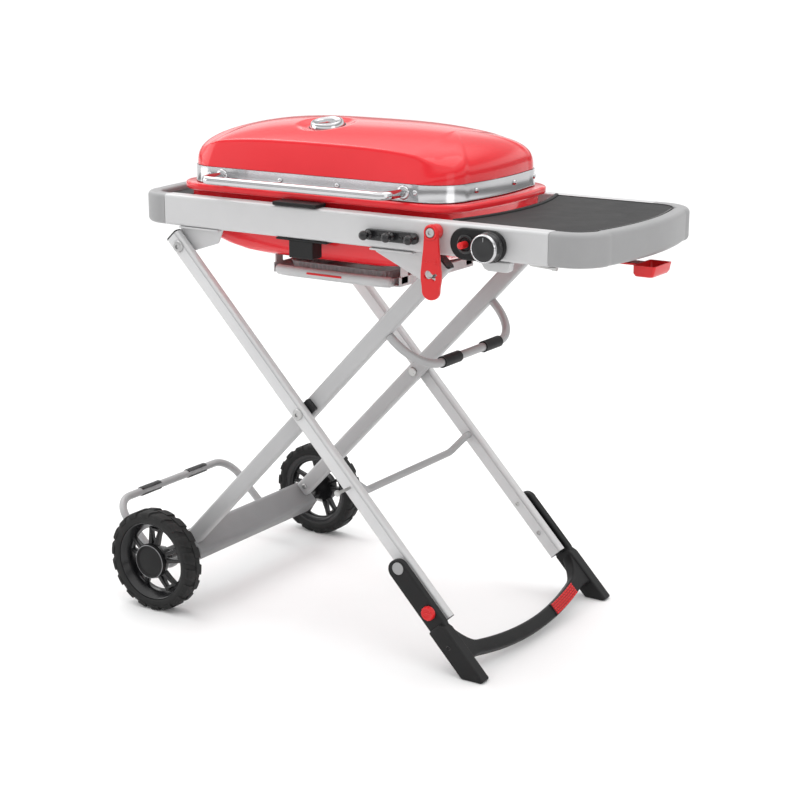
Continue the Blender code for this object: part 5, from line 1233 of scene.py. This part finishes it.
def feet():
    leg_face = 0.2223
    packer = rounded_rect((0.3500, -0.0120), (0.4600, 0.0060), 0.0030, 3)
    layers = (("foot_", foot_outline(), 0.2285, 0.2535, 0.0045),
              ("foot_clamp_", clamp_outline(), 0.2310, 0.2474, 0.0035),
              ("foot_packer_", packer, leg_face, 0.2320, 0.0008))
    for label, side in SIDES:
        for name, outline, near, far, bevel in layers:
            bm = bmesh.new()
            slab(bm, outline, lambda u, v: outer(u, v, side * near), Y * (side * (far - near)))
            done = ["foot_frame"] if name == "foot_" and side < 0 else ()
            piece(name + label, bm, "black", "outer_legs", done, bevel=bevel, segments=4, bevel_angle=40)
    foot_bar()
    bm = bmesh.new()
    for _, side in SIDES:
        turned(bm, [(0, 0.2466), (0.0106, 0.2466), (0.0115, 0.2478), (0.0113, 0.2490), (0.0100, 0.2497), (0, 0.2500)],
               outer(0.3403, 0.0033, 0), Y * side, 36)
    piece("foot_bolt_caps", bm, "grey", "outer_legs", smooth=40)
    bm = bmesh.new()
    for _, side in SIDES:
        turned(bm, [(0.0024, 0.2526), (0.0046, 0.2526), (0.0048, 0.2538), (0.0040, 0.2543), (0.0034, 0.2540),
                    (0.0030, 0.2530), (0.0024, 0.2528)], outer(0.5080, -0.0030, 0), Y * side, 24)
    piece("foot_screws", bm, "gloss_black", "outer_legs", smooth=40)


def foot_pad():
    """A red tread pad with a running-bond brick pattern."""
    y0, y1, half = 0.0650, 0.1650, 0.0116
    base_h = 0.0128
    bm = bmesh.new()
    steps = 24
    rows = []
    for k in range(steps + 1):
        y = y0 + (y1 - y0) * k / steps
        s = bar_s(y)
        section = rounded_rect((-half, 0.0), (half, 0.0014), 0.0006, 2)
        rows.append([outer(s + u, base_h + v, y) for u, v in section])
    loft(bm, rows)
    # the base between the bricks takes the darker red: painted shade in the gaps
    piece("pad_base", bm, "red_painted_shade", "outer_legs", ["foot_grip_pad"], smooth=40)
    bm = bmesh.new()
    courses, length = 5, 0.0105
    tall = 2 * half / courses
    for row in range(courses):
        shift = 0.5 * length if row % 2 else 0.0
        count = int((y1 - y0) / length) + 1
        for k in range(count):
            a = max(y0 + 0.0006, y0 + k * length - shift + 0.0008)
            b = min(y1 - 0.0006, y0 + (k + 1) * length - shift - 0.0008)
            if b - a < 0.002:
                continue
            u0 = -half + row * tall + 0.0007
            u1 = u0 + tall - 0.0014
            slab(bm, [(u0, a), (u1, a), (u1, b), (u0, b)],
                 lambda u, v: outer(bar_s(v) + u, base_h + 0.0012, v), OUTER_H * 0.0016)
    piece("pad_bricks", bm, "red", "outer_legs", bevel=0.0003, segments=2)
    bm = bmesh.new()
    y = y0 - 0.0030
    slab(bm, rounded_rect((-half - 0.001, -0.002), (half + 0.001, 0.0018), 0.0008, 2),
         lambda u, v: outer(bar_s(y) + u, base_h + v - 0.0008, y), Y * 0.0026)
    piece("pad_stop", bm, "gloss_black", "outer_legs")


def foot_knob():
    low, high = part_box("foot_latch_knob")
    centre = Vector(JOINTS["foot_latch_turn"]["pos_m"])
    depth = high.y - low.y
    bm = bmesh.new()
    rows = []
    axis, side, other = -Y, X, Z
    for radius, along, scallop in ((0.0100, 0.0, 0.0), (0.0128, 0.0, 0.0), (0.0132, 0.0010, 0.0006),
                                   (0.0132, depth - 0.0020, 0.0006), (0.0122, depth - 0.0003, 0.0004),
                                   (0.0100, depth, 0.0), (0.0085, depth - 0.0014, 0.0), (0.0030, depth - 0.0018, 0.0)):
        row = []
        for k in range(72):
            turn = 2 * pi * k / 72
            r = radius + scallop * cos(12 * turn) * 0.6
            row.append(centre + axis * along + r * (cos(turn) * side + sin(turn) * other))
        rows.append(row)
    loft(bm, rows)
    piece("latch_knob", bm, "red", "foot_latch_knob", ["foot_latch_knob"], smooth=45)
    bm = bmesh.new()
    along, across = side * 0.9 + other * 0.44, other * 0.9 - side * 0.44
    slab(bm, rounded_rect((-0.0085, -0.0016), (0.0085, 0.0016), 0.0012, 3),
         lambda u, v: centre + axis * (depth - 0.0020) + u * along + v * across, axis * 0.0016)
    piece("latch_grip", bm, "red", "foot_latch_knob", bevel=0.0004, segments=2)


# ---- axle, wheels, hoops
WHEEL = Vector(JOINTS["wheel_front_spin"]["pos_m"])
WHEEL_R = 0.1000


def axle_parts():
    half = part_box("axle_box")[1].y
    s0, s1, h0, h1 = -0.4570, -0.4116, -0.0220, 0.0380
    loop = rounded_rect((s0, h0), (s1, h1), 0.0110, 8)
    bm = bmesh.new()
    rows = []
    for inset, y in ((0.0030, -half), (0.0008, -half + 0.0008), (0.0, -half + 0.0030), (0.0, half - 0.0030),
                     (0.0008, half - 0.0008), (0.0030, half)):
        rows.append([inner(u + (0.5 * (s0 + s1) - u) * inset / 0.022, v + (0.5 * (h0 + h1) - v) * inset / 0.030, y)
                     for u, v in loop])
    loft(bm, rows)
    # the beam takes the darkest copy of the silver paint: painted shade
    piece("axle_beam", bm, "silver_painted_deep_shade", "inner_legs", ["axle_box"], smooth=50)
    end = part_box("axle")[1].y
    bm = bmesh.new()
    turned(bm, [(0, -end), (0.0074, -end), (0.0080, -end + 0.0008), (0.0080, -0.2500), (0.0128, -0.2498),
                (0.0128, -0.1964), (0.0080, -0.1963), (0.0080, 0.1963), (0.0128, 0.1964), (0.0128, 0.2498),
                (0.0080, 0.2500), (0.0080, end - 0.0008), (0.0074, end), (0, end)],
           Vector((WHEEL.x, 0, WHEEL.z)), Y, 32)
    piece("axle_rod", bm, "gloss_black", "inner_legs", ["axle"], smooth=40)


def wheels():
    for label, side in SIDES:
        near, far = span_out("tyre_" + label, side)
        centre = Vector((WHEEL.x, 0, WHEEL.z))
        body = "wheel_" + label
        tyre(label, side, near, far, centre, body)
        rim(label, side, near, far, centre, body)


def tyre(label, side, near, far, centre, body):
    """A chunky tread: a smooth carcass with staggered blocks that wrap over both shoulders."""
    axis = Y * side
    r_in, r_out = 0.0780, WHEEL_R
    base = r_out - 0.0026
    profile = [(r_in, near + 0.0030), (0.0800, near + 0.0016), (0.0860, near + 0.0006), (0.0915, near + 0.0016),
               (base - 0.0010, near + 0.0055), (base, near + 0.0090), (base + 0.0006, (near + far) / 2),
               (base, far - 0.0090), (base - 0.0010, far - 0.0055), (0.0915, far - 0.0016), (0.0860, far - 0.0006),
               (0.0800, far - 0.0016), (r_in, far - 0.0030)]
    bm = bmesh.new()
    turned(bm, profile, centre, axis, 96)
    piece("tyre_carcass_" + label, bm, "tyre", body, ["tyre_" + label], smooth=40)
    bm = bmesh.new()
    blocks = 18
    mid = (near + far) / 2
    for k in range(blocks):
        for half in (-1, 1):
            start = 2 * pi * (k + (0.5 if half > 0 else 0.0)) / blocks
            wide = 2 * pi / blocks * 0.74
            outer_y = far if half > 0 else near
            # radius and distance across the tread, from the middle over the shoulder and down the wall
            loop = [(r_out, mid + half * 0.0012), (r_out, outer_y - half * 0.0075),
                    (r_out - 0.0012, outer_y - half * 0.0035), (r_out - 0.0045, outer_y - half * 0.0006),
                    (0.0900, outer_y), (0.0895, outer_y - half * 0.0030), (base - 0.0030, outer_y - half * 0.0080),
                    (base - 0.0010, mid + half * 0.0012)]
            rows = []
            steps = 4
            for i in range(steps + 1):
                t = i / steps
                row = []
                for radius, along in loop:
                    shoulder = abs(along - mid) / (far - near) * 2
                    turn = start + wide * (t - 0.5) * (1 - 0.22 * shoulder) + half * 0.10 * shoulder
                    row.append(centre + axis * along + radius * (cos(turn) * X + sin(turn) * Z))
                rows.append(row)
            loft(bm, rows)
    piece("tyre_blocks_" + label, bm, "tyre", body, smooth=30, bevel=0.0006, segments=2)


def rim(label, side, near, far, centre, body):
    axis = Y * side
    r = 0.0777
    # barrel
    bm = bmesh.new()
    profile = [(0.0690, near + 0.0040), (r, near + 0.0030), (r, far - 0.0042), (0.0762, far - 0.0036),
               (0.0745, far - 0.0050), (0.0700, far - 0.0130), (0.0655, far - 0.0180), (0.0630, far - 0.0240),
               (0.0622, far - 0.0300), (0.0640, near + 0.0080)]
    turned(bm, profile, centre, axis, 96)
    piece("rim_barrel_" + label, bm, "gloss_black", body, ["wheel_rim_" + label], smooth=40)
    # hub and spokes
    bm = bmesh.new()
    hub = [(0.0083, near - 0.0030), (0.0200, near - 0.0030), (0.0240, near + 0.0080), (0.0330, far - 0.0200),
           (0.0352, far - 0.0120), (0.0350, far - 0.0084), (0.0083, far - 0.0084)]
    turned(bm, hub, centre, axis, 64)
    piece("rim_hub_" + label, bm, "gloss_black", body, smooth=40)
    bm = bmesh.new()
    pairs = 5
    for k in range(pairs):
        middle = 2 * pi * k / pairs + 0.30
        for lean in (-1, 1):
            turn = middle + lean * 0.215
            along = cos(turn) * X + sin(turn) * Z
            along = (along + 0.03 * lean * (sin(turn) * X - cos(turn) * Z)).normalized()
            across = axis.cross(along)
            inner_r, outer_r = 0.0315, 0.0668
            rows = []
            for t, half_w, top, bottom in ((0.0, 0.0046, 0.0100, 0.0250), (0.5, 0.0035, 0.0150, 0.0270),
                                           (0.85, 0.0037, 0.0190, 0.0290), (1.0, 0.0050, 0.0200, 0.0300)):
                reach = inner_r + (outer_r - inner_r) * t
                point = centre + along * reach
                rows.append([point + across * u + axis * v for u, v in
                             rounded_rect((-half_w, far - bottom), (half_w, far - top), 0.0016, 3)])
            loft(bm, rows)
        # a bridge between each pair near the rim
        along = cos(middle) * X + sin(middle) * Z
        across = axis.cross(along)
        rows = []
        for u in (-0.0090, 0.0, 0.0090):
            point = centre + along * (0.0605 - 6 * u * u) + across * u
            rows.append([point + along * a + axis * b for a, b in
                         rounded_rect((-0.0030, far - 0.0270), (0.0030, far - 0.0190), 0.0012, 2)])
        loft(bm, rows)
    piece("rim_spokes_" + label, bm, "gloss_black", body, smooth=40)
    bm = bmesh.new()
    start, top = far - 0.0080, far
    turned(bm, [(0, start), (0.0338, start), (0.0340, start + 0.0010), (0.0340, start + 0.0052), (0.0330, top - 0.0004),
                (0.0318, top), (0.0304, top - 0.0004), (0.0292, top - 0.0020), (0.0286, top - 0.0026),
                (0.0150, top - 0.0014), (0, top - 0.0010)], centre, axis, 72)
    piece("hub_disc_" + label, bm, "black", body, ["hub_cap_" + label], smooth=35)
    bm = bmesh.new()
    turned(bm, [(0.0322, top - 0.0008), (0.0334, top - 0.0012), (0.0334, top - 0.0004), (0.0326, top)],
           centre, axis, 72)
    piece("hub_ring_" + label, bm, "dial", body, smooth=60)


def hoops():
    y, tube = 0.1840, circle(0.0080, 28)
    low_s, low_h, root_h = -0.5306, -0.1754, 0.004
    start = -0.4568
    points = [inner(start, root_h, -y), inner(low_s, root_h, -y), inner(low_s, low_h, -y), inner(low_s, low_h, y),
              inner(low_s, root_h, y), inner(start, root_h, y)]
    bm = bmesh.new()
    pipe(bm, round_path(points, (0.035, 0.046, 0.046, 0.035), 14), tube)
    # both hoops take the darker copy of the silver paint: painted shade
    piece("lower_hoop", bm, "silver_painted_shade", "inner_legs", ["lower_handle"], smooth=60)
    bm = bmesh.new()
    base, wrap = inner(low_s, low_h, 0), 0.95
    for side in (-1, 1):
        for turn in (pi / 2, -pi / 2):
            # pads wrap part of the bar, above and below
            loop = arc((0, 0), 0.0100, turn - wrap, turn + wrap, 12)
            loop += arc((0, 0), 0.0078, turn + wrap, turn - wrap, 12)
            rows = []
            for d, grow in ((0.0450, 0.93), (0.0465, 1.0), (0.1035, 1.0), (0.1050, 0.93)):
                rows.append([base + side * d * Y + (u * X + v * Z) * grow for u, v in loop])
            loft(bm, rows)
    piece("hoop_pads", bm, "gloss_black", "inner_legs", smooth=40)
    up_s, up_h = 0.2400, 0.0988
    start = LEG_HALF + 0.0004
    points = [inner(up_s, start, -y), inner(up_s, up_h, -y), inner(up_s, up_h, y), inner(up_s, start, y)]
    bm = bmesh.new()
    pipe(bm, round_path(points, (0.078, 0.078), 20), tube)
    piece("upper_hoop", bm, "silver_painted_shade", "inner_legs", ["upper_handle"], smooth=60)
    for label, side in SIDES:
        bm = bmesh.new()
        profile = [(0.0083, 0.0440), (0.0098, 0.0440), (0.0106, 0.0448)]
        ridge, count = 0.0003, 30
        profile += [(0.0106 + (0.0 if k % 2 else ridge), 0.0450 + 0.0580 * k / count) for k in range(count + 1)]
        profile += [(0.0098, 0.1036), (0.0083, 0.1036)]
        turned(bm, profile, inner(up_s, up_h, 0), Y * side, 36)
        piece("hoop_sleeve_" + label, bm, "black", "inner_legs", ["handle_sleeve_" + label], smooth=50)


# ---- stage
def stage():
    """A wide pale floor, four soft lights and a bright surround with darker belts that the chrome picks up."""
    scene = bpy.context.scene
    bm = bmesh.new()
    half, cells = 70.0, 28  # metres each way, squares a side
    bmesh.ops.create_grid(bm, x_segments=cells, y_segments=cells, size=half)
    mesh = bpy.data.meshes.new("studio_floor")
    bm.to_mesh(mesh)
    bm.free()
    floor = bpy.data.objects.new("studio_floor", mesh)
    scene.collection.objects.link(floor)
    paper = surface("studio_paper", ((0.86, 0.86, 0.86), (0.87, 0.87, 0.87)), 0.9, specular=0.05)
    mesh.materials.append(paper)
    world = bpy.data.worlds.new("studio")
    scene.world = world
    world.use_nodes = True
    tree = world.node_tree
    background = tree.nodes["Background"]
    place = node(tree, "ShaderNodeTexCoord")
    split = node(tree, "ShaderNodeSeparateXYZ")
    ramp = node(tree, "ShaderNodeValToRGB")
    stops = ((0.0, 0.70), (0.49, 0.80), (0.505, 0.22), (0.555, 0.25), (0.59, 1.0), (0.66, 0.95), (0.70, 0.40),
             (0.76, 0.45), (0.84, 1.15), (1.0, 1.2))
    elements = ramp.color_ramp.elements
    for position, value in stops[1:-1]:
        elements.new(position)
    for element, (position, value) in zip(elements, stops):
        element.position = position
        element.color = (value, value, value, 1)
    shift = node(tree, "ShaderNodeMapRange")
    shift.inputs["From Min"].default_value = -1.0
    tree.links.new(place.outputs["Generated"], split.inputs["Vector"])
    tree.links.new(split.outputs["Z"], shift.inputs["Value"])
    tree.links.new(shift.outputs["Result"], ramp.inputs["Fac"])
    tree.links.new(ramp.outputs["Color"], background.inputs["Color"])
    background.inputs["Strength"].default_value = 1.28
    lights = (("key", (-2.4, 0.5, 3.2), (2.4, 2.4), 42.0), ("left_fill", (-3.6, -1.6, 1.4), (2.4, 1.8), 24.0),
              ("right_fill", (3.6, -1.2, 1.6), (1.6, 2.4), 12.0), ("top", (0.9, 0.6, 3.2), (2.4, 1.4), 12.0))
    for name, place_at, size, power in lights:
        lamp = bpy.data.lights.new(name, "AREA")
        lamp.shape = "RECTANGLE"
        lamp.size, lamp.size_y = size
        lamp.energy = power
        obj = bpy.data.objects.new(name, lamp)
        obj.location = place_at
        obj.rotation_euler = (Vector((0, 0, 0.6)) - Vector(place_at)).to_track_quat("-Z", "Y").to_euler()
        scene.collection.objects.link(obj)


def camera():
    scene = bpy.context.scene
    cam = bpy.data.cameras.new("view")
    cam.sensor_width = 36.0
    cam.lens = 79.67
    obj = bpy.data.objects.new("view", cam)
    # solved from the photo's parallel rails, crossed legs and wheels
    azimuth, elevation, roll = radians(32.75), radians(14.725), radians(0.0965)
    obj.location = at(1.8582, -2.7634, 1.2793)
    turn = Matrix.Rotation(azimuth, 4, "Z") @ Matrix.Rotation(pi / 2 - elevation, 4, "X")
    obj.rotation_euler = (turn @ Matrix.Rotation(roll, 4, "Z")).to_euler()
    scene.collection.objects.link(obj)
    scene.camera = obj
    scene.view_settings.view_transform = "Standard"
    scene.view_settings.look = "None"


camera()
rails()
end_caps()
shelf()
bowl()
grate()
burner()
lid()
band()
lid_handle()
gauge()
lid_hinge()
saddles()
hook_rack()
controls()
lever()
brackets()
tray()
fold_grip()
gas_parts()
legs()
pivots()
cross_brace()
feet()
foot_pad()
foot_knob()
axle_parts()
wheels()
hoops()
stage()
